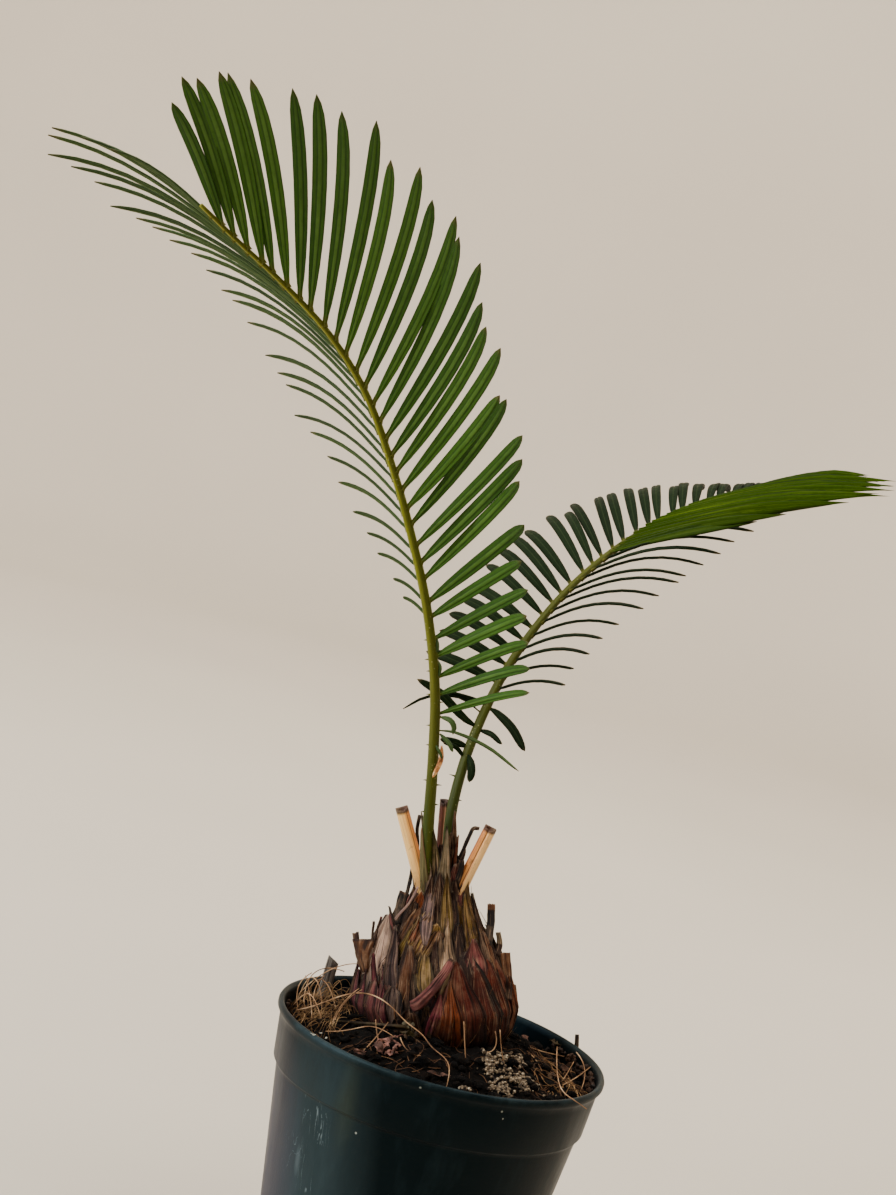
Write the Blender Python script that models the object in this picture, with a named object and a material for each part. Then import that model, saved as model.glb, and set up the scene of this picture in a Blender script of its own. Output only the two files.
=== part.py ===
"""Potted sago palm: two feather leaves on a scaly trunk, rooted in a plastic nursery pot.

The pot stands on z = 0 with its base centred on the origin. The plant leans towards -X.
Sizes are in millimetres in the tables below and become metres where they are used.
"""
import math

import bmesh
import bpy
from mathutils import Matrix, Vector

MM = 0.001
TURN_STEPS = 48
TRUNK_SIDES = 40
GAP = 0.35

# nursery pot, (radius, height) in mm
POT_OUTSIDE = [(0, 0), (46.9, 0), (48.2, 1.3), (60.2, 92.2), (61.6, 93.0), (63.3, 111.6),
               (65.0, 112.4), (65.0, 114.4), (64.4, 115)]
POT_INSIDE = [(62.4, 115), (61.9, 111.8), (60.3, 94.0), (58.8, 91.4), (47.0, 2.4), (0, 2.4)]
DRAIN_HOLES = 6
DRAIN_SIZE = (11, 9, 6)

# soil, (radius, height) in mm: the surface rises towards the trunk
SOIL_TOP = [(0, 112.5), (30, 112), (44, 110), (54, 107.5)]
SOIL_EDGE = 106

# trunk: an axis that leans, and a radius at each height along it, in mm
TRUNK_FOOT = Vector((-3.1, 5.7, 110))
TRUNK_AXIS = Vector((-0.196, 0.080, 0.977)).normalized()
TRUNK_RADIUS = [(-14, 11), (-6, 18), (0, 22.5), (8, 27.5), (15, 29), (24, 26.4), (34, 21), (43, 15.4),
                (52, 10.5), (60, 9.7), (70, 9.2), (90, 9)]
TRUNK_TOP = 52
TRUNK_BURIED = -13
TRUNK_STEP = 4.5

# dry scales that wrap the trunk, lowest ring first. count, first angle, length, share of the ring filled
SCALE_RINGS = [
    dict(count=8, phase=10, length=36, fill=0.94),
    dict(count=7, phase=36, length=31.5, fill=0.94),
    dict(count=6, phase=0, length=31.5, fill=0.93),
    dict(count=6, phase=30, length=27, fill=0.92),
    dict(count=5, phase=18, length=18, fill=0.90),
    dict(count=2, phase=90, length=27, fill=0.52),
]
SCALE_FIRST = -1.5 + TRUNK_STEP * 0.5
SCALE_THICKNESS = 1.3
SCALE_FLARE = 1.2

# cut leaf stalks: foot on the trunk top, and cut end (x, y across the axis, height along it), radius
CUT_STALKS = {
    "cut_stalk_left": dict(foot=(-6.6, 1.6), end=(-16.4, -1.2, 90), radius=2.3),
    "cut_stalk_right": dict(foot=(6.9, -1.6), end=(18.0, -3.7, 83.5), radius=2.4),
    "cut_stalk_back": dict(foot=(-1.6, 7.0), end=(-0.6, 7.6, 93.5), radius=1.7),
}

# leaves: a midrib that starts on the trunk top, the direction the upper face looks in at the foot
# and the tip, the angle between the two rows, and leaflets as (share of midrib, angle off it, length)
TALL_LEAF = dict(
    midrib=[(-30.4, 2.4, 217.4), (-37, -0.6, 246), (-47, -5, 273.5), (-59, -12, 298.5), (-72, -20, 322),
            (-88, -30, 346.5), (-105.5, -41, 364), (-125, -52, 377), (-142, -63, 386.5),
            (-156.5, -73, 395)],
    foot=(-4.5, -3.0), neck=(-23.9, 3.6, 182.7),
    facing=((0.33, 0.93, 0.13), (0.55, 0.79, 0.28)), spread=(95, 98),
    angles=[(0.20, 88), (0.37, 60), (0.54, 45), (0.71, 41), (0.86, 32), (1.0, 22)],
    lengths=[(0.20, 34), (0.37, 41), (0.54, 71), (0.71, 81), (0.86, 84), (1.0, 56)],
    curl=0.88, droop=0.10,
    rows={1: (0.365, 0.985), -1: (0.262, 0.99)}, pitch=(7.4, 6.3), stalk_radius=(2.5, 0.75),
)
LOW_LEAF = dict(
    midrib=[(-18.2, 22.6, 214), (-15.6, 31, 234.5), (-11, 39.5, 253.5), (-4, 49, 271.5), (4.6, 59.5, 288),
            (16.3, 72, 304.5), (30.3, 84, 319.5), (49.2, 97.3, 334), (70, 110, 345), (91, 122, 353.5),
            (107, 129.5, 358.2)],
    foot=(3.2, 2.4), neck=(-17.2, 15.5, 190),
    facing=((-0.41, -0.78, 0.48), (-0.69, -0.13, 0.71)), spread=(111, 122),
    angles=[(0.21, 88), (0.38, 71), (0.56, 50), (0.73, 47), (0.87, 35), (1.0, 34)],
    lengths=[(0.21, 24), (0.38, 41), (0.56, 66), (0.73, 60), (0.87, 63), (1.0, 47)],
    curl=0.98, droop=0.75,
    rows={1: (0.235, 0.985), -1: (0.215, 0.985)}, pitch=(7.2, 6.0), stalk_radius=(2.4, 0.7),
)
LEAFLET_WIDTH = 5.0
LEAFLET_THICKNESS = 0.9
LEAFLET_TILT = math.radians(24)
LEAFLET_OUTLINE = [(0.0, 0.34), (0.16, 1.0), (0.55, 1.0), (0.85, 0.62)]

# loose things on the soil: perlite as ((x, y), radius)
PERLITE = {
    "perlite_large": ((24.5, -32.0), 7.4),
    "perlite_small": ((37.0, -25.5), 4.6),
    "perlite_crumb": ((11.0, -34.0), 3.4),
}
STICK_FOOT = Vector((-46.5, 17.0, 96))
STICK_END = Vector((-45.5, 20.0, 129))
STICK_RADIUS = 1.6
ROOTS = {
    "root_front": dict(radius=0.6, path=[(-41, -22), (-28, -31), (-13, -37.5), (4, -39.5), (16, -43)]),
    "root_right": dict(radius=0.6, path=[(33, 8), (40, -2), (47, -5), (53, -10)]),
}

MATERIALS = {
    "pot_plastic": ((0.021, 0.030, 0.031), 0.42),
    "potting_soil": ((0.013, 0.010, 0.008), 0.95),
    "trunk_core": ((0.060, 0.036, 0.022), 0.85),
    "dry_scale": ((0.125, 0.070, 0.038), 0.75),
    "old_stalk": ((0.560, 0.350, 0.160), 0.60),
    "leaf_tall": ((0.055, 0.115, 0.020), 0.38),
    "leaf_low": ((0.032, 0.070, 0.030), 0.35),
    "perlite": ((0.680, 0.600, 0.450), 0.90),
    "root_fibre": ((0.330, 0.220, 0.130), 0.80),
    "dry_stick": ((0.270, 0.240, 0.200), 0.80),
}


def clear_scene():
    for old in list(bpy.data.objects):
        bpy.data.objects.remove(old, do_unlink=True)


def make_collection(name, hidden=False):
    made = bpy.data.collections.new(name)
    bpy.context.scene.collection.children.link(made)
    made.hide_render = hidden
    return made


def make_material(name):
    colour, roughness = MATERIALS[name]
    made = bpy.data.materials.new(name)
    made.use_nodes = True
    shader = made.node_tree.nodes["Principled BSDF"]
    shader.inputs["Base Color"].default_value = (*colour, 1)
    shader.inputs["Roughness"].default_value = roughness
    shader.inputs["Metallic"].default_value = 0
    made.diffuse_color = (*colour, 1)
    return made


def finish(bm, name, material, collection):
    """Turn a bmesh in millimetres into an object in metres."""
    bmesh.ops.remove_doubles(bm, verts=bm.verts, dist=1e-4)
    bmesh.ops.recalc_face_normals(bm, faces=bm.faces)
    bmesh.ops.scale(bm, vec=(MM, MM, MM), verts=bm.verts)
    mesh = bpy.data.meshes.new(name)
    bm.to_mesh(mesh)
    bm.free()
    made = bpy.data.objects.new(name, mesh)
    collection.objects.link(made)
    if material:
        mesh.materials.append(material)
    else:
        made.display_type = "WIRE"
        made.hide_render = True
    return made


def combine(target, other, operation):
    """Apply an exact Boolean to the target."""
    step = target.modifiers.new(operation.lower(), "BOOLEAN")
    step.operation = operation
    step.solver = "EXACT"
    step.use_self = operation == "UNION"
    step.object = other
    depsgraph = bpy.context.evaluated_depsgraph_get()
    result = bpy.data.meshes.new_from_object(target.evaluated_get(depsgraph))
    target.modifiers.remove(step)
    old = target.data
    target.data = result
    bpy.data.meshes.remove(old)


def interpolate(table, x):
    """Read a (position, value) table by straight lines."""
    if x <= table[0][0]:
        return table[0][1]
    for (x0, y0), (x1, y1) in zip(table, table[1:]):
        if x <= x1:
            return y0 + (y1 - y0) * (x - x0) / (x1 - x0)
    return table[-1][1]


def turned(bm, profile, steps=TURN_STEPS):
    """Spin an (r, z) profile round the Z axis."""
    verts = [bm.verts.new((r, 0, z)) for r, z in profile]
    edges = [bm.edges.new(pair) for pair in zip(verts, verts[1:])]
    bmesh.ops.spin(bm, geom=verts + edges, axis=(0, 0, 1), cent=(0, 0, 0), angle=math.tau,
                   steps=steps, use_merge=True)


def loft(bm, rings):
    """Join equal rings of points into a closed skin; a ring of one point closes the end to a tip."""
    rows = [[bm.verts.new(p) for p in ring] for ring in rings]
    for a, b in zip(rows, rows[1:]):
        n = max(len(a), len(b))
        for i in range(n):
            j = (i + 1) % n
            if len(b) == 1:
                bm.faces.new((a[i], a[j], b[0]))
            else:
                bm.faces.new((a[i], a[j], b[j], b[i]))
    bm.faces.new(rows[0][::-1])
    if len(rows[-1]) > 1:
        bm.faces.new(rows[-1])


def smooth_path(points, per_span=6):
    """Catmull-Rom curve through the points."""
    pts = [Vector(p) for p in points]
    ends = [2 * pts[0] - pts[1]] + pts + [2 * pts[-1] - pts[-2]]
    path = []
    for a, b, c, d in zip(ends, ends[1:], ends[2:], ends[3:]):
        for k in range(per_span):
            t = k / per_span
            path.append(0.5 * (2 * b + (c - a) * t + (2 * a - 5 * b + 4 * c - d) * t ** 2
                               + (3 * b - a - 3 * c + d) * t ** 3))
    return path + [pts[-1]]


class Route:
    """A path that can be asked for its point and direction at any length."""

    def __init__(self, path):
        self.path = path
        self.marks = [0.0]
        for a, b in zip(path, path[1:]):
            self.marks.append(self.marks[-1] + (b - a).length)
        self.length = self.marks[-1]

    def point(self, s):
        s = min(max(s, 0), self.length)
        for i in range(1, len(self.marks)):
            if s <= self.marks[i]:
                t = (s - self.marks[i - 1]) / (self.marks[i] - self.marks[i - 1])
                return self.path[i - 1].lerp(self.path[i], t)
        return self.path[-1]

    def direction(self, s, reach=3.0):
        return (self.point(s + reach) - self.point(s - reach)).normalized()


def tube_rings(route, stations, radius_at, sides, start_normal=None):
    """Circles across a route, for loft()."""
    rings = []
    side = None
    for i, s in enumerate(stations):
        along = route.direction(s)
        if i == 0 and start_normal:
            along = start_normal
        side = along.orthogonal() if side is None else side - along * side.dot(along)
        side.normalize()
        other = along.cross(side)
        radius = radius_at(s)
        rings.append([route.point(s) + radius * (math.cos(a) * side + math.sin(a) * other)
                      for a in (math.tau * k / sides for k in range(sides))])
    return rings


# ---- trunk frame ----
TRUNK_E1 = (Vector((1, 0, 0)) - TRUNK_AXIS * TRUNK_AXIS.x).normalized()
TRUNK_E2 = TRUNK_AXIS.cross(TRUNK_E1)


def on_trunk(x, y, height):
    return TRUNK_FOOT + TRUNK_E1 * x + TRUNK_E2 * y + TRUNK_AXIS * height


def around_trunk(radius, angle, height):
    return on_trunk(radius * math.cos(angle), radius * math.sin(angle), height)


def trunk_heights():
    """Heights shared by the trunk and its scales, so their facets stay parallel."""
    first = SCALE_FIRST
    below = [first - TRUNK_STEP * k for k in (2, 1)]
    above = []
    while first + TRUNK_STEP * len(above) < TRUNK_TOP - 1:
        above.append(first + TRUNK_STEP * len(above))
    return [TRUNK_BURIED] + below + above + [TRUNK_TOP]


def build_trunk(material, collection):
    bm = bmesh.new()
    rings = []
    for height in trunk_heights():
        radius = interpolate(TRUNK_RADIUS, height)
        rings.append([around_trunk(radius, math.tau * k / TRUNK_SIDES, height) for k in range(TRUNK_SIDES)])
    loft(bm, rings)
    return finish(bm, "trunk", material, collection)


def scale_rings(ring_index, spec, angle):
    """Cross-sections of one dry scale, from its foot to its tip."""
    foot = SCALE_FIRST + 2 * TRUNK_STEP * ring_index
    lean = (SCALE_THICKNESS + 0.45) / (2 * TRUNK_STEP)
    steps = round(spec["length"] / TRUNK_STEP)
    half = math.pi / spec["count"] * spec["fill"]
    rings = []
    for k in range(steps + 1):
        t = k / steps
        height = foot + k * TRUNK_STEP
        width = half * min(1, 0.80 + 0.8 * t) * (1 if t < 0.45 else 1 - 0.9 * ((t - 0.45) / 0.55) ** 1.6)
        flare = SCALE_FLARE if k == steps else 0
        inside = interpolate(TRUNK_RADIUS, height) + GAP + lean * k * TRUNK_STEP + flare
        cells = 4
        angles = [angle + width * (2 * c / cells - 1) for c in range(cells + 1)]
        rings.append([around_trunk(inside, a, height) for a in angles]
                     + [around_trunk(inside + SCALE_THICKNESS, a, height) for a in reversed(angles)])
    return rings


def build_scales(material, collection):
    for i, spec in enumerate(SCALE_RINGS):
        for j in range(spec["count"]):
            angle = math.radians(spec["phase"]) + math.tau * j / spec["count"]
            bm = bmesh.new()
            loft(bm, scale_rings(i, spec, angle))
            finish(bm, f"scale_{i + 1}_{j + 1}", material, collection)


def build_cut_stalks(material, collection):
    for name, spec in CUT_STALKS.items():
        foot = on_trunk(*spec["foot"], TRUNK_TOP + GAP)
        end = on_trunk(*spec["end"])
        route = Route([foot, foot.lerp(end, 0.5), end])
        stations = [route.length * t for t in (0, 0.5, 0.97, 1)]
        shrink = [(0, 1.0), (route.length * 0.5, 0.95), (route.length * 0.97, 1.05), (route.length, 0.8)]
        bm = bmesh.new()
        rings = tube_rings(route, stations, lambda s: spec["radius"] * interpolate(shrink, s), 12,
                           TRUNK_AXIS)
        loft(bm, rings)
        finish(bm, name, material, collection)


# ---- leaves ----
def leaflet_rings(route, spec, side, s):
    """Diamond cross-sections of one leaflet, from inside the midrib to its tip."""
    share = s / route.length
    along = route.direction(s)
    facing = Vector(spec["facing"][0]).lerp(Vector(spec["facing"][1]), share)
    up = (facing - along * facing.dot(along)).normalized()
    across = along.cross(up)
    half = math.radians(spec["spread"][0] + (spec["spread"][1] - spec["spread"][0]) * share) / 2
    outward = math.cos(half) * up + side * math.sin(half) * across
    face = math.sin(half) * up - side * math.cos(half) * across
    angle = math.radians(interpolate(spec["angles"], share))
    start = math.cos(angle) * along + math.sin(angle) * outward
    blade = (along - start * along.dot(start)).normalized()
    blade = (blade * math.cos(LEAFLET_TILT) + face * math.sin(LEAFLET_TILT)).normalized()
    length = interpolate(spec["lengths"], share)
    stalk = spec["stalk_radius"][0] + (spec["stalk_radius"][1] - spec["stalk_radius"][0]) * share
    at = route.point(s) + outward * stalk * 0.55
    rings = []
    steps = 20
    for k in range(steps + 1):
        t = k / steps
        heading = (start - t ** 1.6 * (spec["curl"] * face + spec["droop"] * up)).normalized()
        for mark, width in LEAFLET_OUTLINE:
            if abs(t - mark) < 0.5 / steps:
                wide = (blade - heading * blade.dot(heading)).normalized()
                thick = heading.cross(wide)
                w, h = LEAFLET_WIDTH * width / 2, LEAFLET_THICKNESS / 2
                rings.append([at + wide * w, at + thick * h, at - wide * w, at - thick * h])
        at = at + heading * length / steps
    rings.append([at])
    return rings


def build_leaf(name, spec, material, collection, cutters):
    foot = on_trunk(*spec["foot"], TRUNK_TOP + GAP)
    route = Route(smooth_path([foot, spec["neck"]] + spec["midrib"]))

    def stalk_radius(s):
        a, b = spec["stalk_radius"]
        return a + (b - a) * s / route.length

    bm = bmesh.new()
    count = 26
    stations = [route.length * k / count for k in range(count + 1)]
    loft(bm, tube_rings(route, stations, stalk_radius, 8, TRUNK_AXIS))
    leaf = finish(bm, name, material, collection)

    bm = bmesh.new()
    for side, (first, last) in spec["rows"].items():
        s = first * route.length
        while s < last * route.length:
            loft(bm, leaflet_rings(route, spec, side, s))
            a, b = spec["pitch"]
            s += a + (b - a) * s / route.length
    leaflets = finish(bm, name + "_leaflets", None, cutters)
    combine(leaf, leaflets, "UNION")
    leaf.data.materials.clear()
    leaf.data.materials.append(material)


# ---- pot, soil and loose things ----
def build_pot(material, collection, cutters):
    bm = bmesh.new()
    turned(bm, POT_OUTSIDE + POT_INSIDE)
    pot = finish(bm, "pot", material, collection)
    bm = bmesh.new()
    deep, wide, high = DRAIN_SIZE
    for k in range(DRAIN_HOLES):
        angle = math.tau * (k + 0.5) / DRAIN_HOLES
        made = bmesh.ops.create_cube(bm, size=1)["verts"]
        bmesh.ops.scale(bm, vec=(deep, wide, high), verts=made)
        bmesh.ops.translate(bm, vec=(POT_OUTSIDE[1][0] - deep * 0.2, 0, 0), verts=made)
        bmesh.ops.rotate(bm, cent=(0, 0, 0), matrix=Matrix.Rotation(angle, 3, "Z"), verts=made)
    holes = finish(bm, "drain_holes", None, cutters)
    combine(pot, holes, "DIFFERENCE")


def soil_height(radius):
    return interpolate(SOIL_TOP, radius)


def build_soil(material, collection, cutters):
    bm = bmesh.new()
    (r_top, z_top), (r_band, z_band), (r_step, z_step), (r_low, z_low) = POT_INSIDE[1:5]
    edge = r_band + (r_top - r_band) * (SOIL_EDGE - z_band) / (z_top - z_band) - GAP
    turned(bm, [(0, z_low + GAP), (r_low - GAP - 0.4, z_low + GAP), (r_step - GAP, z_step - 0.2),
                (r_band - GAP, z_band + 0.2), (edge, SOIL_EDGE)] + list(reversed(SOIL_TOP)))
    soil = finish(bm, "soil", material, collection)

    bm = bmesh.new()
    rings = []
    pocket_floor = (TRUNK_BURIED - GAP, interpolate(TRUNK_RADIUS, TRUNK_BURIED) + GAP)
    for height, radius in [pocket_floor, (-6, 18.5), (0, 23), (SCALE_FIRST - 0.9, 23),
                           (SCALE_FIRST - 0.6, 31), (6, 39), (14, 45)]:
        rings.append([around_trunk(radius, math.tau * k / TRUNK_SIDES, height) for k in range(TRUNK_SIDES)])
    loft(bm, rings)
    pocket = finish(bm, "trunk_pocket", None, cutters)
    combine(soil, pocket, "DIFFERENCE")

    bm = bmesh.new()
    down = (STICK_FOOT - STICK_END).normalized()
    route = Route([STICK_FOOT + down * GAP, STICK_END])
    loft(bm, tube_rings(route, [0, route.length], lambda s: STICK_RADIUS + GAP, 10))
    hole = finish(bm, "stick_hole", None, cutters)
    combine(soil, hole, "DIFFERENCE")


def build_stick(material, collection):
    route = Route([STICK_FOOT, STICK_END])
    bm = bmesh.new()
    loft(bm, tube_rings(route, [0, route.length * 0.5, route.length],
                        lambda s: STICK_RADIUS * (1 - 0.35 * s / route.length), 10))
    finish(bm, "dry_stick", material, collection)


def build_perlite(material, collection):
    for name, ((x, y), size) in PERLITE.items():
        bm = bmesh.new()
        bmesh.ops.create_icosphere(bm, subdivisions=2, radius=size)
        for v in bm.verts:
            v.co *= 1 + 0.10 * math.sin(v.co.x * 1.3 + v.co.y * 0.9) * math.cos(v.co.z * 1.1)
            v.co.z = max(v.co.z * 0.55, -size * 0.25)
        low = min(v.co.z for v in bm.verts)
        inner = max(math.hypot(x, y) - size * 1.1, 0)
        bmesh.ops.translate(bm, vec=(x, y, soil_height(inner) + GAP - low), verts=bm.verts)
        finish(bm, name, material, collection)


def build_roots(material, collection):
    for name, spec in ROOTS.items():
        flat = smooth_path([(x, y, 0) for x, y in spec["path"]], 3)
        lift = GAP + spec["radius"] + 0.1
        path = [Vector((p.x, p.y, soil_height(math.hypot(p.x, p.y)) + lift)) for p in flat]
        route = Route(path)
        count = len(path) - 1
        bm = bmesh.new()
        loft(bm, tube_rings(route, [route.length * k / count for k in range(count + 1)],
                            lambda s: spec["radius"] * (1 - 0.4 * s / route.length), 6))
        finish(bm, name, material, collection)


def main():
    clear_scene()
    palm = make_collection("potted_sago_palm")
    cutters = make_collection("cutters", hidden=True)
    finishes = {name: make_material(name) for name in MATERIALS}
    build_pot(finishes["pot_plastic"], palm, cutters)
    build_soil(finishes["potting_soil"], palm, cutters)
    build_trunk(finishes["trunk_core"], palm)
    build_scales(finishes["dry_scale"], palm)
    build_cut_stalks(finishes["old_stalk"], palm)
    build_leaf("tall_leaf", TALL_LEAF, finishes["leaf_tall"], palm, cutters)
    build_leaf("low_leaf", LOW_LEAF, finishes["leaf_low"], palm, cutters)
    build_perlite(finishes["perlite"], palm)
    build_roots(finishes["root_fibre"], palm)
    build_stick(finishes["dry_stick"], palm)


main()
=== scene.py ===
import math
import random

import bmesh
import bpy
from mathutils import Matrix, Vector, noise


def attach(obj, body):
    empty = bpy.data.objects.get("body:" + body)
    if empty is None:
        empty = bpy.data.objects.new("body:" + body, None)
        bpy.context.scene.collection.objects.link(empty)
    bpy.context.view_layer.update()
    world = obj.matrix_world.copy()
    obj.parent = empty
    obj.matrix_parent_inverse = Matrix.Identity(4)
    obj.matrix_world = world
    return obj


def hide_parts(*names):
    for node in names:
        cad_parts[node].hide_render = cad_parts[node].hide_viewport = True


# In the dictionaries lengths are in mm, angles in degrees and colours from 0 to 255; only the camera and the
# studio are in metres. Every piece is shaped in mm and becomes metres in makePiece.
mm = 0.001
body = "root"
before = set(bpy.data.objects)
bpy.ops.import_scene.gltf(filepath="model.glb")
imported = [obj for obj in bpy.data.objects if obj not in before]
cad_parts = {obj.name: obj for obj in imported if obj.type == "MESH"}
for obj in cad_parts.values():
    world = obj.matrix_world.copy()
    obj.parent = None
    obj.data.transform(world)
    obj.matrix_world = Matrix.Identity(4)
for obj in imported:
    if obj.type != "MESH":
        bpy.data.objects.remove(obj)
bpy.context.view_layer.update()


# curves and directions
def readTable(table, x):
    # straight lines between (position, value) pairs
    if x <= table[0][0]:
        return table[0][1]
    for (x0, y0), (x1, y1) in zip(table, table[1:]):
        if x <= x1:
            return y0 + (y1 - y0) * (x - x0) / (x1 - x0)
    return table[-1][1]


def between(pair, part):
    return pair[0] + (pair[1] - pair[0]) * part


def squareTo(ahead, side):
    # the part of side that is square to ahead, as a direction
    return (side - ahead * side.dot(ahead)).normalized()


def rough(point, size, seed=0.0):
    return noise.noise(Vector(point) / size + Vector((seed, seed * 1.7, -seed)))


def smoothPath(points, perSpan=8):
    # Catmull-Rom curve through the points
    knots = [Vector(p) for p in points]
    knots = [2 * knots[0] - knots[1]] + knots + [2 * knots[-1] - knots[-2]]
    path = []
    for a, b, c, d in zip(knots, knots[1:], knots[2:], knots[3:]):
        for k in range(perSpan):
            t = k / perSpan
            path.append(0.5 * (2 * b + (c - a) * t + (2 * a - 5 * b + 4 * c - d) * t ** 2
                               + (3 * b - a - 3 * c + d) * t ** 3))
    return path + [knots[-2]]


class Route:
    # a path that gives its point and its direction at any length
    def __init__(self, path):
        self.path = path
        self.marks = [0.0]
        for a, b in zip(path, path[1:]):
            self.marks.append(self.marks[-1] + (b - a).length)
        self.length = self.marks[-1]

    def point(self, s):
        s = min(max(s, 0.0), self.length)
        i = next(i for i in range(1, len(self.marks)) if s <= self.marks[i])
        return self.path[i - 1].lerp(self.path[i], (s - self.marks[i - 1]) / (self.marks[i] - self.marks[i - 1]))

    def direction(self, s, reach=3.0):
        return (self.point(s + reach) - self.point(s - reach)).normalized()


# meshes: a blank is a straight mesh that is copied and bent into place many times
def keepBlank(bm, name):
    mesh = bpy.data.meshes.new(name)
    bm.to_mesh(mesh)
    bm.free()
    return mesh


def copyBlank(bm, blank):
    first = len(bm.verts)
    bm.from_mesh(blank)
    bm.verts.ensure_lookup_table()
    return bm.verts[first:]


def rodBlank(sides, cuts):
    # a round bar of radius 1 from z = 0 to z = 1, closed at both ends
    bm = bmesh.new()
    bmesh.ops.create_cone(bm, cap_ends=True, cap_tris=False, segments=sides, radius1=1, radius2=1, depth=1,
                          matrix=Matrix.Translation((0, 0, 0.5)))
    long = [e for e in bm.edges if abs(e.verts[0].co.z - e.verts[1].co.z) > 0.5]
    bmesh.ops.subdivide_edges(bm, edges=long, cuts=cuts)
    return keepBlank(bm, "rodBlank")


def copyRod(bm, blank):
    # each vertex with its angle round the rod and its share of the length
    for v in copyBlank(bm, blank):
        yield v, math.atan2(v.co.y, v.co.x), v.co.z


def onlyVerts(geom):
    return [g for g in geom if isinstance(g, bmesh.types.BMVert)]


def closeUnder(bm, lower):
    # copy the sheet, give the copy the heights that lower works out, and join the two all round
    rim = [e for e in bm.edges if e.is_boundary]
    for v in onlyVerts(bmesh.ops.duplicate(bm, geom=list(bm.verts) + list(bm.edges) + list(bm.faces))["geom"]):
        v.co.z = lower(v.co)
    rim += [e for e in bm.edges if e.is_boundary and e not in rim]
    bmesh.ops.bridge_loops(bm, edges=rim)
    bmesh.ops.recalc_face_normals(bm, faces=bm.faces)


def turnProfile(bm, profile, steps):
    verts = [bm.verts.new((r, 0, z)) for r, z in profile]
    edges = [bm.edges.new(pair) for pair in zip(verts, verts[1:])]
    bmesh.ops.spin(bm, geom=verts + edges, axis=(0, 0, 1), cent=(0, 0, 0), angle=math.tau, steps=steps,
                   use_merge=True)


def addLump(bm, radius, place, swell, flatten=1.0):
    made = bmesh.ops.create_icosphere(bm, subdivisions=2, radius=radius)["verts"]
    for v in made:
        v.co *= swell(v.co)
        v.co.z *= flatten
    bmesh.ops.translate(bm, verts=made, vec=place)


def newLayers(bm, *names):
    return {name: bm.verts.layers.float.new(name) for name in names}


def mark(v, layers, **values):
    for name, value in values.items():
        v[layers[name]] = value


def faceOutward(bm):
    # thin curled lumps can come out of the recalculation inside out, so each is turned by its volume
    bmesh.ops.recalc_face_normals(bm, faces=bm.faces)
    bm.normal_update()
    for face in bm.faces:
        face.tag = False
    inverted = []
    for first in bm.faces:
        if first.tag:
            continue
        first.tag, lump, volume = True, [first], 0.0
        near = first.verts[0].co.copy()
        for face in lump:
            volume += (face.calc_center_median() - near).dot(face.normal) * face.calc_area()
            for edge in face.edges:
                for other in edge.link_faces:
                    if not other.tag:
                        other.tag = True
                        lump.append(other)
        if volume < 0:
            inverted += lump
    if inverted:
        bmesh.ops.reverse_faces(bm, faces=inverted)


def addObject(bm, name, material=None, smooth=True):
    for face in bm.faces:
        face.smooth = smooth
    made = bpy.data.objects.new(name, keepBlank(bm, name))
    bpy.context.scene.collection.objects.link(made)
    if material:
        made.data.materials.append(material)
    return made


def makePiece(bm, name, material, slot, replaced=(), merge=1e-4, smooth=True):
    if merge:
        bmesh.ops.remove_doubles(bm, verts=bm.verts, dist=merge)
    faceOutward(bm)
    bmesh.ops.scale(bm, vec=(mm, mm, mm), verts=bm.verts)
    piece = addObject(bm, name, material, smooth)
    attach(piece, body)
    if replaced:
        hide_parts(*replaced)
    return piece


def strandPiece(name, strands, material, slot, replaced=(), sides=1):
    # thin round strands; each is (points, radius at the start, radius at the end)
    curve = bpy.data.curves.new(name, "CURVE")
    curve.dimensions = "3D"
    curve.bevel_depth = mm
    curve.bevel_resolution = sides
    curve.use_fill_caps = True
    curve.resolution_u = 5
    for points, thick, thin in strands:
        spline = curve.splines.new("NURBS")
        spline.points.add(len(points) - 1)
        for i, (knot, p) in enumerate(zip(spline.points, points)):
            knot.co = (p[0] * mm, p[1] * mm, p[2] * mm, 1)
            knot.radius = thick + (thin - thick) * i / (len(points) - 1)
        spline.order_u = 4
        spline.use_endpoint_u = True
    holder = bpy.data.objects.new(name + "Curve", curve)
    bm = bmesh.new()
    bm.from_mesh(bpy.data.meshes.new_from_object(holder))
    bpy.data.objects.remove(holder)
    bmesh.ops.scale(bm, vec=(1 / mm, 1 / mm, 1 / mm), verts=bm.verts)
    makePiece(bm, name, material, slot, replaced)


# materials
def linear(colour):
    # screen colour, 0 to 255, to a shader colour
    return tuple((c / 255 / 12.92 if c <= 10 else ((c / 255 + 0.055) / 1.055) ** 2.4) for c in colour) + (1,)


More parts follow.
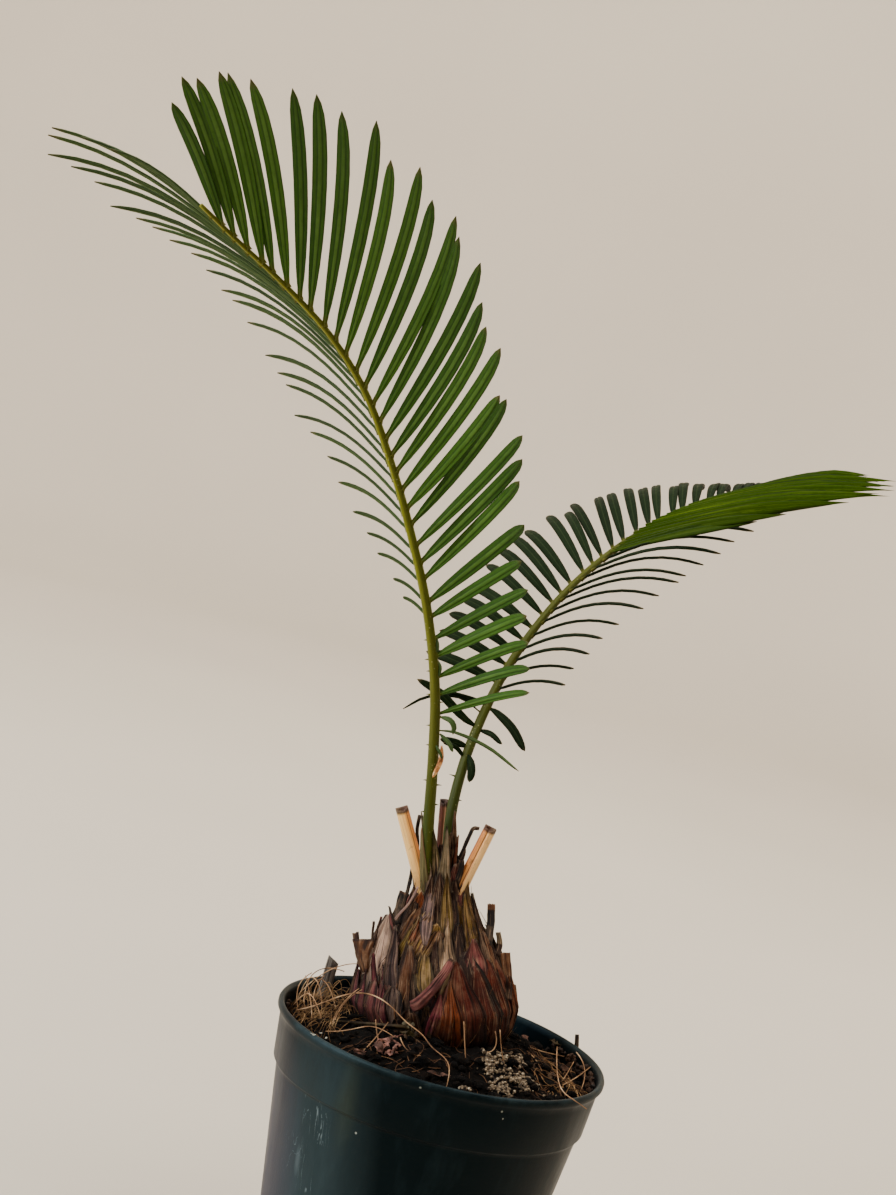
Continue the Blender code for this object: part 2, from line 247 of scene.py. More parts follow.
class Finish:
    # a material, and the colour that is built up on it cover by cover
    def __init__(self, name, roughness, specular, tint=None):
        self.material = bpy.data.materials.new(name)
        self.material.use_nodes = True
        self.tree = self.material.node_tree
        self.shader = self.tree.nodes["Principled BSDF"].inputs
        self.shader["Roughness"].default_value = roughness
        self.shader["Specular IOR Level"].default_value = specular
        if tint:
            self.shader["Specular Tint"].default_value = (*tint, 1)

    def feed(self, socket, value):
        if isinstance(value, bpy.types.NodeSocket):
            self.tree.links.new(value, socket)
        else:
            socket.default_value = value

    def node(self, kind, settings=None, **sockets):
        made = self.tree.nodes.new("ShaderNode" + kind)
        for key, value in (settings or {}).items():
            setattr(made, key, value)
        for key, value in sockets.items():
            self.feed(made.inputs[key], value)
        return made

    def place(self, scale=(1, 1, 1)):
        return self.node("Mapping", Vector=self.node("TexCoord").outputs["Object"], Scale=scale).outputs["Vector"]

    def upward(self):
        return self.node("SeparateXYZ", Vector=self.place()).outputs["Z"]

    def layers(self, *names):
        return [self.node("Attribute", dict(attribute_name=name)).outputs["Fac"] for name in names]

    def calc(self, operation, a, b=0.0):
        made = self.node("Math", dict(operation=operation))
        self.feed(made.inputs[0], a)
        self.feed(made.inputs[1], b)
        return made.outputs[0]

    def add(self, a, b):
        return self.calc("ADD", a, b)

    def minus(self, a, b):
        return self.calc("SUBTRACT", a, b)

    def times(self, a, b):
        return self.calc("MULTIPLY", a, b)

    def mapRange(self, value, low, high, toLow=0.0, toHigh=1.0):
        made = self.node("MapRange", Value=value)
        for socket, number in zip(("From Min", "From Max", "To Min", "To Max"), (low, high, toLow, toHigh)):
            made.inputs[socket].default_value = number
        return made.outputs["Result"]

    def nearPoint(self, place, centre, reach, soft):
        # 1 within reach of a point and 0 past soft, all in mm
        off = self.node("VectorMath", dict(operation="DISTANCE"))
        self.feed(off.inputs[0], place)
        off.inputs[1].default_value = [c * mm for c in centre]
        return self.mapRange(off.outputs["Value"], soft * mm, reach * mm)

    def speckle(self, place, scale, detail=4.0, roughness=0.6, distortion=0.0):
        return self.node("TexNoise", Vector=place, Scale=scale, Detail=detail, Roughness=roughness,
                         Distortion=distortion).outputs["Fac"]

    def streaks(self, across, along, tint, count, stretch, scale=1.0, detail=5, roughness=0.6):
        # noise squeezed across a strip, so that it runs lengthwise; tint gives each strip its own
        place = self.node("CombineXYZ", X=self.times(across, count), Y=self.times(along, stretch),
                          Z=self.times(tint, 37.0)).outputs[0]
        return self.speckle(place, scale, detail, roughness)

    def blend(self, factor, a, b):
        made = self.node("Mix", dict(data_type="RGBA"))
        for socket, value in zip((0, 6, 7), (factor, a, b)):
            self.feed(made.inputs[socket], linear(value) if isinstance(value, tuple) else value)
        return made.outputs[2]

    def ramp(self, value, *stops):
        # stops are (position, colour or grey level)
        made = self.node("ValToRGB", Fac=value)
        elements = made.color_ramp.elements
        while len(elements) < len(stops):
            elements.new(0.5)
        for element, (position, level) in zip(elements, stops):
            element.position = position
            element.color = linear(level) if isinstance(level, tuple) else (level, level, level, 1)
        return made.outputs["Color"]

    def cover(self, colour, value, *stops):
        # lay a colour over the present one, as strongly as the value or its ramp says
        self.colour = self.blend(self.ramp(value, *stops) if stops else value, self.colour, colour)

    def finish(self, height=None, strength=0.0, distance=0.0, roughness=None):
        self.feed(self.shader["Base Color"], self.colour)
        if roughness:
            self.feed(self.shader["Roughness"], roughness)
        if height:
            made = self.node("Bump", Strength=strength, Distance=distance, Height=height)
            self.feed(self.shader["Normal"], made.outputs["Normal"])
        return self.material


def speckledMaterial(name, roughness, specular, scale, detail, stops, strength=0.0, distance=0.0):
    skin = Finish(name, roughness, specular)
    shade = skin.speckle(skin.place(), scale, detail)
    skin.colour = skin.ramp(shade, *stops)
    return skin.finish(shade if strength else None, strength, distance)


# camera, floor and lights
view = dict(place=(-0.0406, -0.819, 0.3471), tip=85.3, roll=14.6, lens=65)
studio = dict(floorRadius=2.2, wallRadius=3.0, wallHeight=3.2, below=0.0003, pale=(204, 193, 176),
              dim=(197.5, 186.8, 170.3), sky=(0.80, 0.82, 0.86), skyStrength=0.17)
# lamps: place, the point it aims at, size, power, colour
lamps = dict(
    keyLamp=((-1.25, -0.95, 1.35), (0, 0, 0.22), (0.7, 0.7), 30, (1.0, 0.975, 0.94)),
    fillLamp=((1.5, -1.2, 0.9), (0, 0, 0.25), (1.4, 1.4), 1.0, (0.93, 0.96, 1.0)),
    windowLamp=((-1.75, -0.4, 0.72), (0, 0, 0.14), (0.8, 0.8), 24, (0.72, 0.86, 1.0)),
    topLamp=((0.2, 0.3, 1.9), (0, 0, 0.2), (1.6, 1.6), 11, (1.0, 0.98, 0.95)),
    wallLamp=((0.9, 0.2, 2.3), (0.6, 3.0, 0.6), (1.5, 1.0), 92, (1.0, 0.95, 0.88)),
    wallLampLeft=((-1.6, 0.4, 2.3), (-0.8, 3.0, 0.6), (1.5, 1.0), 56, (1.0, 0.97, 0.93)),
)


def makeCamera():
    data = bpy.data.cameras.new("camera")
    data.lens = view["lens"]
    camera = bpy.data.objects.new("camera", data)
    camera.matrix_world = (Matrix.Translation(view["place"]) @ Matrix.Rotation(math.radians(view["tip"]), 4, "X")
                           @ Matrix.Rotation(math.radians(view["roll"]), 4, "Z"))
    bpy.context.scene.collection.objects.link(camera)
    bpy.context.scene.camera = camera


def makeStudio():
    start, wall = studio["floorRadius"], studio["wallRadius"]
    bend = wall - start
    profile = [(0, 0), (0.6, 0), (1.4, 0), (start, 0)]
    profile += [(start + bend * math.sin(a), bend * (1 - math.cos(a)))
                for a in (math.radians(15 * k) for k in range(1, 7))]
    bm = bmesh.new()
    turnProfile(bm, [(r, z - studio["below"]) for r, z in profile + [(wall, studio["wallHeight"])]], steps=96)
    bmesh.ops.remove_doubles(bm, verts=bm.verts, dist=1e-5)
    bmesh.ops.recalc_face_normals(bm, faces=bm.faces)
    paper = Finish("warmPaper", 0.9, 0.1)
    paper.colour = paper.ramp(paper.speckle(paper.place(), 1.3, 2.0), (0.3, studio["dim"]), (0.7, studio["pale"]))
    addObject(bm, "backdrop", paper.finish())

    world = bpy.data.worlds.new("softSky")
    world.use_nodes = True
    sky = world.node_tree.nodes["Background"].inputs
    sky["Color"].default_value = (*studio["sky"], 1)
    sky["Strength"].default_value = studio["skyStrength"]
    bpy.context.scene.world = world
    for name, (place, aim, size, power, colour) in lamps.items():
        data = bpy.data.lights.new(name, "AREA")
        data.shape = "RECTANGLE"
        data.size, data.size_y = size
        data.energy, data.color = power, colour
        light = bpy.data.objects.new(name, data)
        light.location = place
        light.rotation_euler = (Vector(aim) - Vector(place)).to_track_quat("-Z", "Y").to_euler()
        bpy.context.scene.collection.objects.link(light)


makeCamera()
makeStudio()
print("camera, floor and lights ready")

pot = dict(
    outside=[(0, 1.6), (39, 1.6), (40.2, 0), (45.9, 0), (47.3, 0.9), (48.3, 3.4), (60.0, 90.6), (60.25, 91.9),
             (61.2, 92.5), (61.75, 93.3), (63.2, 108.6), (63.45, 110.6), (64.35, 111.7), (64.95, 112.7),
             (65.0, 113.8), (64.6, 114.7), (63.9, 115)],
    inside=[(63.1, 114.8), (62.5, 114.0), (62.1, 112.0), (60.3, 94.0), (58.8, 91.4), (47.2, 3.6), (46.2, 2.6),
            (0, 2.4)],
    steps=192,
    # drain slots round the foot: how many, how far out, and depth, width and height
    slots=6, slotPlace=44.7, slotSize=(11, 9, 6),
    # marks on the wall: scuffs are (centre, reach, fade); the list after them also has a strength and a colour: the
    # small ones are smudges, the broad pale and lilac patches on the left a painted highlight and painted reflection;
    # drawnOut stretches both upwards, and a painted highlight lies along the top of the rim between two heights
    drawnOut=0.22, rimHighlight=(112.8, 114.2),
    scuffs=[((-41, -43, 86), 5, 9), ((-36, -46, 83), 4, 8), ((-43, -37, 66), 5, 11), ((-37, -42, 58), 3, 8),
            ((52, 28, 70), 4, 10), ((-10, 57, 52), 5, 12)],
    smearsAndSheen=[((-38, -47, 14), 12, 31, 0.46, (64, 80, 84)), ((-54, -24, 15), 4, 24, 0.34, (96, 94, 112)),
            ((-30, -54, 94), 1, 6, 0.12, (84, 88, 52)), ((-42, -38, 66), 0.5, 1.8, 0.25, (110, 124, 128)),
            ((-57, -12, 70), 2, 14, 0.16, (92, 90, 110))],
    specks=[((-6, -64.2, 112.6), 0.7), ((25, -58.3, 109.5), 0.55), ((26, -57.4, 106.8), 0.4), ((-24, -54.6, 87), 0.6),
            ((-6, -60.8, 91.5), 0.5), ((6, -60.4, 90), 0.45), ((-50, -34.5, 100), 0.5), ((-20, -58.6, 104), 0.4),
            ((37, 47, 90), 0.6), ((-60, 10, 96), 0.5)],
)


def potMaterial():
    skin = Finish("slatePlastic", 0.36, 0.085, (0.5, 0.84, 1.0))
    place, drawn = skin.place(), skin.place((1, 1, pot["drawnOut"]))
    dusty = skin.speckle(skin.place((1, 1, 0.25)), 60, 6, 0.7)
    skin.colour = skin.ramp(skin.speckle(place, 14, 3), (0.3, (1, 6, 8)), (0.7, (4, 12, 15)))
    skin.cover((66, 92, 100), dusty, (0.50, 0.0), (0.75, 0.10))
    # the scuffs are thin broken lines
    wandering = skin.speckle(drawn, 150, 3, 0.5, 0.6)
    line = skin.mapRange(skin.calc("ABSOLUTE", skin.minus(wandering, 0.5)), 0.007, 0.001)
    line = skin.times(line, skin.ramp(skin.speckle(place, 420, 3), (0.42, 0.0), (0.58, 1.0)))
    for centre, reach, soft in pot["scuffs"]:
        skin.cover((150, 166, 170), skin.times(skin.times(skin.nearPoint(place, centre, reach, soft), line), 0.42))
    # smudges, and the painted highlight and painted reflection on the left of the pot
    for (x, y, z), reach, soft, strength, stain in pot["smearsAndSheen"]:
        near = skin.nearPoint(drawn, (x, y, z * pot["drawnOut"]), reach, soft)
        skin.cover(stain, skin.times(near, skin.mapRange(dusty, 0.3, 0.6, strength * 0.7, strength)))
    for centre, reach in pot["specks"]:
        skin.cover((150, 156, 148), skin.nearPoint(place, centre, reach * 0.35, reach * 0.95))
    # painted highlight along the top of the rim, broken up by the dust noise
    low, high = pot["rimHighlight"]
    rimHighlight = skin.mapRange(skin.upward(), low * mm, high * mm, 0.0, 0.22)
    skin.cover((64, 78, 80), skin.times(rimHighlight, skin.ramp(dusty, (0.4, 0.2), (0.6, 1.0))))
    fine, wavy = skin.speckle(place, 900, 2), skin.speckle(skin.place((1, 1, 6)), 55, 3)
    return skin.finish(skin.add(skin.times(fine, 0.6), skin.times(wavy, 0.8)), 0.12, 0.0005,
                       skin.ramp(dusty, (0.35, 0.34), (0.75, 0.55)))


def cutSlots(piece):
    bm = bmesh.new()
    for k in range(pot["slots"]):
        made = bmesh.ops.create_cube(bm, size=1)["verts"]
        bmesh.ops.scale(bm, vec=[size * mm for size in pot["slotSize"]], verts=made)
        bmesh.ops.translate(bm, vec=(pot["slotPlace"] * mm, 0, 0), verts=made)
        turn = Matrix.Rotation(math.tau * (k + 0.5) / pot["slots"], 3, "Z")
        bmesh.ops.rotate(bm, cent=(0, 0, 0), matrix=turn, verts=made)
    cutter = addObject(bm, "drainSlots", smooth=False)
    cut = piece.modifiers.new("drainSlots", "BOOLEAN")
    cut.operation, cut.solver, cut.object = "DIFFERENCE", "EXACT", cutter
    finished = bpy.data.meshes.new_from_object(piece.evaluated_get(bpy.context.evaluated_depsgraph_get()))
    piece.modifiers.clear()
    piece.data = finished
    bpy.data.objects.remove(cutter)
    finished.set_sharp_from_angle(angle=math.radians(60))


def makePot():
    bm = bmesh.new()
    turnProfile(bm, pot["outside"] + pot["inside"], pot["steps"])
    cutSlots(makePiece(bm, "nurseryPot", potMaterial(), "pot_plastic", ["pot"]))


makePot()
print("pot ready")

soil = dict(
    top=[(0, 112.5), (30, 112), (44, 110), (54, 108), (62, 106)], edge=61.3, grid=170,
    wall=[(61.2, 104.6), (60.4, 94.4), (58.5, 91.6), (46.6, 3.2)],
    heap=((-7, 2), 33, 13, 5.5),  # against the trunk: centre, reach, fade and height
    bare=((-2.5, 5.5), 27),  # nothing is scattered in this circle round the trunk
    # how many, and how far out; crumbs stick to the inside of the wall
    clods=(460, 58.5), clodSizes=(0.7, 0.9, 1.2, 1.7, 2.3), chips=(170, 57),
    crumbs=(110, 61), crumbAngles=(8, 8, 24, 200),
)


def soilHeight(x, y):
    (hx, hy), reach, fade, height = soil["heap"]
    off = max(0, math.hypot(x - hx, y - hy) - reach)
    return (readTable(soil["top"], math.hypot(x, y)) + height * math.exp(-(off / fade) ** 2)
            + 1.5 * rough((x, y, 0), 13) + 1.1 * rough((x, y, 5), 4.5) + 0.8 * rough((x, y, 9), 1.8))


def soilMaterial():
    skin = Finish("peatSoil", 0.95, 0.1)
    clumps, grains = skin.speckle(skin.place(), 170, 8, 0.72), skin.speckle(skin.place(), 900, 6, 0.7)
    skin.colour = skin.ramp(clumps, (0.36, (2, 1, 1)), (0.54, (8, 5, 3)), (0.70, (30, 19, 12)))
    skin.cover((74, 50, 32), grains, (0.60, 0.0), (0.76, 0.5))
    return skin.finish(skin.add(clumps, skin.times(grains, 0.4)), 0.9, 0.002)


def makeSoil():
    bm = bmesh.new()
    bmesh.ops.create_grid(bm, x_segments=soil["grid"], y_segments=soil["grid"], size=1)
    for v in bm.verts:
        # the square grid becomes a round one
        x, y = v.co.x, v.co.y
        x, y = (soil["edge"] * x * math.sqrt(1 - y * y / 2), soil["edge"] * y * math.sqrt(1 - x * x / 2))
        v.co = (x, y, soilHeight(x, y))
    rim = [e for e in bm.edges if e.is_boundary]
    for r, z in soil["wall"]:
        rim = bmesh.ops.extrude_edge_only(bm, edges=rim)["geom"]
        for v in onlyVerts(rim):
            flat = Vector((v.co.x, v.co.y)).normalized() * r
            v.co = (flat.x, flat.y, z)
        rim = [g for g in rim if isinstance(g, bmesh.types.BMEdge)]
    bmesh.ops.holes_fill(bm, edges=rim, sides=0)
    makePiece(bm, "pottingSoil", peat, "potting_soil", ["soil"])


def underTrunk(x, y):
    (cx, cy), radius = soil["bare"]
    return math.hypot(x - cx, y - cy) < radius


def scatter(rng, count, reach):
    while count:
        angle, r = rng.uniform(0, math.tau), reach * math.sqrt(rng.random())
        x, y = r * math.cos(angle), r * math.sin(angle)
        if not underTrunk(x, y):
            count -= 1
            yield x, y


def makeClods():
    # lumps of peat and flat bits of bark
    rng = random.Random(41)
    bm = bmesh.new()
    for x, y in scatter(rng, *soil["clods"]):
        size = rng.choice(soil["clodSizes"]) * rng.uniform(0.8, 1.2)
        addLump(bm, size, (x, y, soilHeight(x, y) + size * 0.25), lambda co: (
            1 + 0.5 * rough(co + Vector((x, y, 0)), size * 1.1) + 0.25 * rough(co, size * 0.4, x)), flatten=0.75)
    for x, y in scatter(rng, *soil["chips"]):
        made = bmesh.ops.create_cube(bm, size=1)["verts"]
        turn = (Matrix.Rotation(rng.uniform(0, math.tau), 4, "Z") @ Matrix.Rotation(rng.gauss(0, 0.5), 4, "X")
                @ Matrix.Rotation(rng.gauss(0, 0.3), 4, "Y"))
        long, wide = rng.uniform(2.0, 6.5), rng.uniform(0.7, 1.8)
        for v in made:
            v.co = (turn @ Vector((v.co.x * long * (1 + 0.4 * v.co.y), v.co.y * wide, v.co.z * 0.45))
                    + Vector((x, y, soilHeight(x, y) + 0.7)))
    makePiece(bm, "peatClods", peat, "potting_soil", merge=0, smooth=False)


peat = soilMaterial()
makeSoil()
makeClods()
print("soil ready")

# the leaves: tables go by the share of the midrib, pairs from the first leaflet to the last; pitch is the step,
# open the angle of the row from the upper face, changes are (more angle, times length) of single leaflets
tallLeaf = dict(
    seed=3, foot=(-4.5, -3.0), neck=(-23.9, 3.6, 182.7),
    midrib=[(-30.4, 2.4, 217.4), (-37, -0.6, 246), (-47, -5, 273.5), (-59, -12, 298.5), (-72, -20, 322),
            (-88, -30, 346.5), (-105.5, -41, 364), (-125, -52, 377), (-142, -63, 386.5), (-156.5, -73, 395)],
    facing=((0.33, 0.93, 0.13), (0.55, 0.79, 0.28)), stalkRadius=(2.5, 0.75),
    rows=dict(
        Broad=dict(side=-1, reach=(0.275, 0.985), pitch=(7.6, 6.6), open=(58, 48),
                   angles=[(0.26, 77), (0.36, 68), (0.46, 58), (0.56, 55), (0.66, 50), (0.76, 49), (0.86, 39),
                           (0.99, 26)],
                   lengths=[(0.26, 46), (0.38, 48), (0.46, 69), (0.56, 77), (0.66, 86), (0.76, 88), (0.86, 88),
                            (0.99, 56)],
                   tilts=[(0.3, 22), (1.0, 22)], curl=(0.15, 0.05), droop=(1.3, 0.85), sag=(0.08, -0.45),
                   width=[(0.275, 3.4), (0.30, 4.2), (0.34, 4.8), (0.42, 5.1)],
                   changes={0: (-5, 0.93), 1: (-3, 0.97), 5: (2, 0.94), 11: (0, 0.9), 20: (1, 0.96), 22: (2, 1),
                            23: (4, 0.98), 24: (5, 0.94), 25: (-1, 0.93), 30: (-3, 0.85)}),
        Thin=dict(side=1, reach=(0.40, 0.985), pitch=(6.9, 6.3), open=(62, 48),
                  angles=[(0.40, 58), (0.5, 61), (0.66, 58), (0.76, 47), (0.86, 37), (0.99, 13)],
                  lengths=[(0.40, 13), (0.46, 28), (0.56, 56), (0.66, 78), (0.8, 79), (0.9, 84), (0.94, 74),
                           (0.99, 34)],
                  tilts=[(0.40, -32), (0.57, -24), (0.73, -12), (0.9, 0), (1.0, 6)], curl=(0.12, -0.4),
                  droop=(0.05, 0.3), sag=(0.42, 0.64), width=[(0.4, 3.3), (0.7, 3.3), (0.88, 3.9), (1.0, 4.2)],
                  plain=True)),
)
lowLeaf = dict(
    seed=5, foot=(3.2, 2.4), neck=(-17.2, 15.5, 190),
    midrib=[(-18.2, 22.6, 214), (-15.6, 31, 234.5), (-11, 39.5, 253.5), (-4, 49, 271.5), (4.6, 59.5, 288),
            (16.3, 72, 304.5), (30.3, 84, 319.5), (49.2, 97.3, 334), (70, 110, 345), (91, 122, 353.5),
            (107, 129.5, 358.2)],
    facing=((-0.41, -0.78, 0.48), (-0.69, -0.13, 0.71)), stalkRadius=(2.4, 0.7),
    rows=dict(
        Broad=dict(side=-1, reach=(0.345, 0.985), pitch=(6.9, 6.0), open=(53, 61),
                   angles=[(0.21, 100), (0.33, 92), (0.45, 76), (0.57, 62), (0.69, 54), (0.8, 47), (1.0, 40)],
                   lengths=[(0.21, 40), (0.33, 34), (0.45, 44), (0.57, 52), (0.69, 49), (0.8, 38), (1.0, 16)],
                   tilts=[(0.3, 20), (1.0, 20)], curl=(0.45, 0.9), droop=(0.7, 0.76), sag=(-0.07, -0.23),
                   width=[(0, 4.4)], plain=True),
        Thin=dict(side=1, reach=(0.33, 0.62), pitch=(7.2, 6.6), open=(85, 80),
                  angles=[(0.27, 80), (0.36, 50), (0.5, 44), (0.6, 42)],
                  lengths=[(0.27, 22), (0.39, 33), (0.5, 50), (0.6, 57), (0.63, 62)],
                  tilts=[(0.33, -46), (0.42, -34), (0.52, -23), (0.61, -15)], curl=(0.54, 0.49), droop=(0.48, 0.34),
                  sag=(0.31, 0.08), width=[(0, 4.8)], plain=True),
        # the young leaflets lie over one another and hide the midrib
        Fresh=dict(side=1, reach=(0.60, 0.915), pitch=(3.9, 3.7), open=(84.9, 77.4),
                   angles=[(0.60, 54), (0.68, 63), (0.76, 64), (0.84, 61), (0.93, 57)],
                   lengths=[(0.60, 64), (0.62, 80), (0.68, 102), (0.76, 94), (0.84, 69), (0.93, 36)],
                   tilts=[(0.60, 30), (0.66, 62), (0.78, 76), (1.0, 84)],
                   curl=(0.35, 0.3), droop=(0.31, 0.19), sag=(-0.46, -0.02),
                   width=[(0.60, 4.2), (0.68, 5.0), (0.78, 4.8), (0.84, 3.6), (0.93, 3.0)], plain=True,
                   fresh=(0.54, 0.68), lap=1.8,
                   changes={0: (2, 0.9), 2: (2, 0.9), 5: (0, 0.95), 8: (1, 1.04), 9: (0, 0.9), 11: (1, 1.03),
                            12: (0, 0.93), 14: (0, 1.04), 15: (1, 0.9), 16: (2, 1.02), 17: (0, 0.86), 18: (2, 0.96),
                            19: (4, 0.84), 20: (3, 0.9), 21: (4, 0.8), 22: (4, 0.86)})),
)
leaflet = dict(thickness=0.55, keel=0.45, finer=60,  # finer is the steps of the bend
               outline=[(0, 0.58), (0.02, 0.36), (0.05, 0.40), (0.12, 0.66), (0.25, 0.88), (0.40, 0.97), (0.60, 1.0),
                        (0.76, 0.95), (0.87, 0.80), (0.94, 0.56), (0.98, 0.30), (1.0, 0.05)],
               columns=[-1, -0.72, -0.3, 0, 0.3, 0.72, 1], topLift=[-0.30, 0.04, 0.10, -0.10, 0.10, 0.04, -0.30],
               rows=[0, 0.02, 0.05, 0.10, 0.18, 0.30, 0.42, 0.54, 0.66, 0.78, 0.88, 0.95, 1.0])
trunk = dict(foot=(-3.1, 5.7, 110), axis=(-0.196, 0.080, 0.977), stalksFrom=44)  # the leaf stalks start this high
trunkFoot, trunkAxis = Vector(trunk["foot"]), Vector(trunk["axis"]).normalized()
trunkEast = squareTo(trunkAxis, Vector((1, 0, 0)))
trunkNorth = trunkAxis.cross(trunkEast)


def onTrunk(x, y, height):
    return trunkFoot + trunkEast * x + trunkNorth * y + trunkAxis * height


def aroundTrunk(radius, degrees, height):
    a = math.radians(degrees)
    return onTrunk(radius * math.cos(a), radius * math.sin(a), height)


def onRing(ahead, east, angle):
    # the direction at an angle round a stalk that runs ahead
    return math.cos(angle) * east + math.sin(angle) * ahead.cross(east)


def turned(wide, thick, angle):
    # two directions that are square to each other, turned together
    return wide * math.cos(angle) + thick * math.sin(angle), thick * math.cos(angle) - wide * math.sin(angle)


def leafletBlank():
    # x runs from base to tip, y from edge to edge, z is the height above the middle of the blade, in mm
    bm = bmesh.new()
    columns, lift, rows = leaflet["columns"], leaflet["topLift"], leaflet["rows"]
    bmesh.ops.create_grid(bm, x_segments=len(rows) - 1, y_segments=len(columns) - 1, size=1)
    for v in bm.verts:
        i = round((v.co.y + 1) / 2 * (len(columns) - 1))
        v.co = (rows[round((v.co.x + 1) / 2 * (len(rows) - 1))], columns[i], lift[i])
    closeUnder(bm, lambda co: co.z - (leaflet["thickness"] * (0.55 if abs(co.y) > 0.9 else 1)
                                      + (leaflet["keel"] if co.y == 0 else 0)))
    return keepBlank(bm, "leafletBlank")


leafletShape = leafletBlank()


def leafDirections(spec, route, s):
    # share of the midrib, and the directions ahead, out of the upper face and across the leaf
    share = s / route.length
    ahead = route.direction(s)
    up = squareTo(ahead, Vector(spec["facing"][0]).lerp(Vector(spec["facing"][1]), share))
    return share, ahead, up, ahead.cross(up)


def addLeaflet(bm, layers, spec, row, route, s, rng, moreAngle, timesLength):
    share, ahead, up, across = leafDirections(spec, route, s)
    first, last = row["reach"]
    part = (share - first) / (last - first)
    # outward is where the row points from the midrib, and face where its leaflets look
    half, side = math.radians(between(row["open"], part)), row["side"]
    outward = math.cos(half) * up + side * math.sin(half) * across
    face = math.sin(half) * up - side * math.cos(half) * across
    angle = math.radians(readTable(row["angles"], share) + rng.gauss(0, 1.0) + moreAngle)
    start = math.cos(angle) * ahead + math.sin(angle) * outward
    blade = squareTo(start, ahead)
    tilt = math.radians(readTable(row["tilts"], share) + rng.gauss(0, 3))
    blade = (blade * math.cos(tilt) + face * math.sin(tilt)).normalized()
    length = readTable(row["lengths"], share) * rng.uniform(0.97, 1.03) * timesLength
    width = readTable(row["width"], share) * rng.uniform(0.93, 1.05) * min(1, 0.55 + length / 90)
    young = readTable([(row["fresh"][0], 0), (row["fresh"][1], 1)], share) if "fresh" in row else 0
    at = route.point(s) + outward * between(spec["stalkRadius"], share) * 0.45 + up * young * row.get("lap", 0)
    curl, droop, sag = (between(row[key], part) for key in ("curl", "droop", "sag"))
    bend = (curl * face + droop * up + Vector((0, 0, sag))) * rng.uniform(0.9, 1.1)
    twist = math.radians(rng.gauss(0, 6))
    finer, path, frames = leaflet["finer"], [], {}
    for k in range(finer + 1):
        heading = (start - (k / finer) ** 1.6 * bend).normalized()
        path.append((at, heading))
        at = at + heading * length / finer
    for t in leaflet["rows"]:
        at, heading = path[round(t * finer)]
        wide = squareTo(heading, blade)
        frames[round(t * finer)] = (at, *turned(wide, heading.cross(wide) * side, twist * t))
    tint = rng.random()
    for v in copyBlank(bm, leafletShape):
        t, c, h = v.co
        at, wide, thick = frames[round(t * finer)]
        full = readTable(leaflet["outline"], t)
        w = width / 2 * (min(full, 0.34 + 1.2 * t) if young else full) * (1 - 0.9 * young * max(0, t - 0.68) / 0.32)
        taper = min(1.0, 0.35 + 2.2 * w / width)
        under = 1.0 if h < -0.32 and not row.get("plain") else 0.0
        mark(v, layers, across=c, along=t, tint=tint, under=under, young=young)
        v.co = at + wide * (w * c) + thick * (h * taper * (1.6 if t < 0.03 else 1))


def addMidrib(bm, layers, spec, route):
    first, last = spec["stalkRadius"]
    for v, angle, t in copyRod(bm, rodBlank(sides=18, cuts=110)):
        s = t * route.length
        share, _, up, across = leafDirections(spec, route, s)
        wide = (first + (last - first) * s / route.length) * (1 + 0.35 * max(0, 1 - s / 9))
        hollow = 1 - 0.22 * min(1, share / 0.3) * max(0, math.sin(angle)) ** 3
        mark(v, layers, across=angle / math.pi, along=share)
        v.co = route.point(s) + wide * (math.cos(angle) * across + math.sin(angle) * hollow * up)


def leafMaterial(name, upper, lower, band, line, edge, young, gloss, shine, sheenTint):
    # upper is (dark, light, fold), lower (dark, light), young (dark, light, vein), band the strip beside the keel
    skin = Finish(name, gloss, shine, sheenTint)
    signed, along, tint, under, fresh = skin.layers("across", "along", "tint", "under", "young")
    across, strip = skin.calc("ABSOLUTE", signed), (signed, along, tint)
    mottled, patches = skin.speckle(skin.place(), 500, 4), skin.speckle(skin.place(), 38, 3)
    shade = skin.add(skin.times(tint, 0.3), skin.times(skin.streaks(*strip, 5.0, 3.0, 4.0, 3), 0.7))
    skin.colour = skin.ramp(shade, (0.25, lower[0]), (0.75, lower[1]))
    paler = skin.times(skin.ramp(across, (0.20, 0.55), (0.36, 0.0)), skin.ramp(along, (0.55, 1.0), (0.95, 0.3)))
    skin.cover(band, skin.times(paler, skin.ramp(patches, (0.38, 0.35), (0.6, 1.0))))
    skin.cover(line, across, (0.20, 0.0), (0.34, 0.7), (0.55, 0.0))
    below = skin.colour
    skin.colour = skin.ramp(shade, (0.2, young[0]), (0.8, young[1]))
    skin.cover(young[2], skin.streaks(*strip, 3.4, 0.5, 2.4, 2), (0.56, 0.0), (0.64, 0.4))
    bright = skin.colour
    skin.colour = skin.ramp(shade, (0.25, upper[0]), (0.75, upper[1]))
    skin.cover(upper[2], across, (0.04, 0.5), (0.14, 0.0))
    skin.cover(below, under)
    skin.cover(bright, fresh)
    skin.cover(edge, across, (0.80, 0.0), (0.96, 0.7))
    skin.cover(line, mottled, (0.5, 0.0), (0.8, 0.25))
    foot = skin.times(skin.ramp(along, (0.015, 0.8), (0.05, 0.0)), skin.minus(1.0, fresh))
    skin.cover(skin.blend(0.6, line, (122, 116, 44)), foot)
    dryTip = skin.times(skin.ramp(along, (0.93, 0.0), (1.0, 0.9)), skin.ramp(tint, (0.2, 0.4), (0.9, 1.0)))
    skin.cover((96, 80, 52), skin.times(dryTip, skin.minus(1.0, skin.times(fresh, 0.8))))
    ribs = skin.streaks(*strip, 26.0, 1.2, 1.0, 2)
    return skin.finish(skin.add(skin.times(ribs, 0.7), skin.times(mottled, 0.3)), 0.35, 0.0004,
                       skin.ramp(mottled, (0.3, gloss - 0.06), (0.7, gloss + 0.10)))


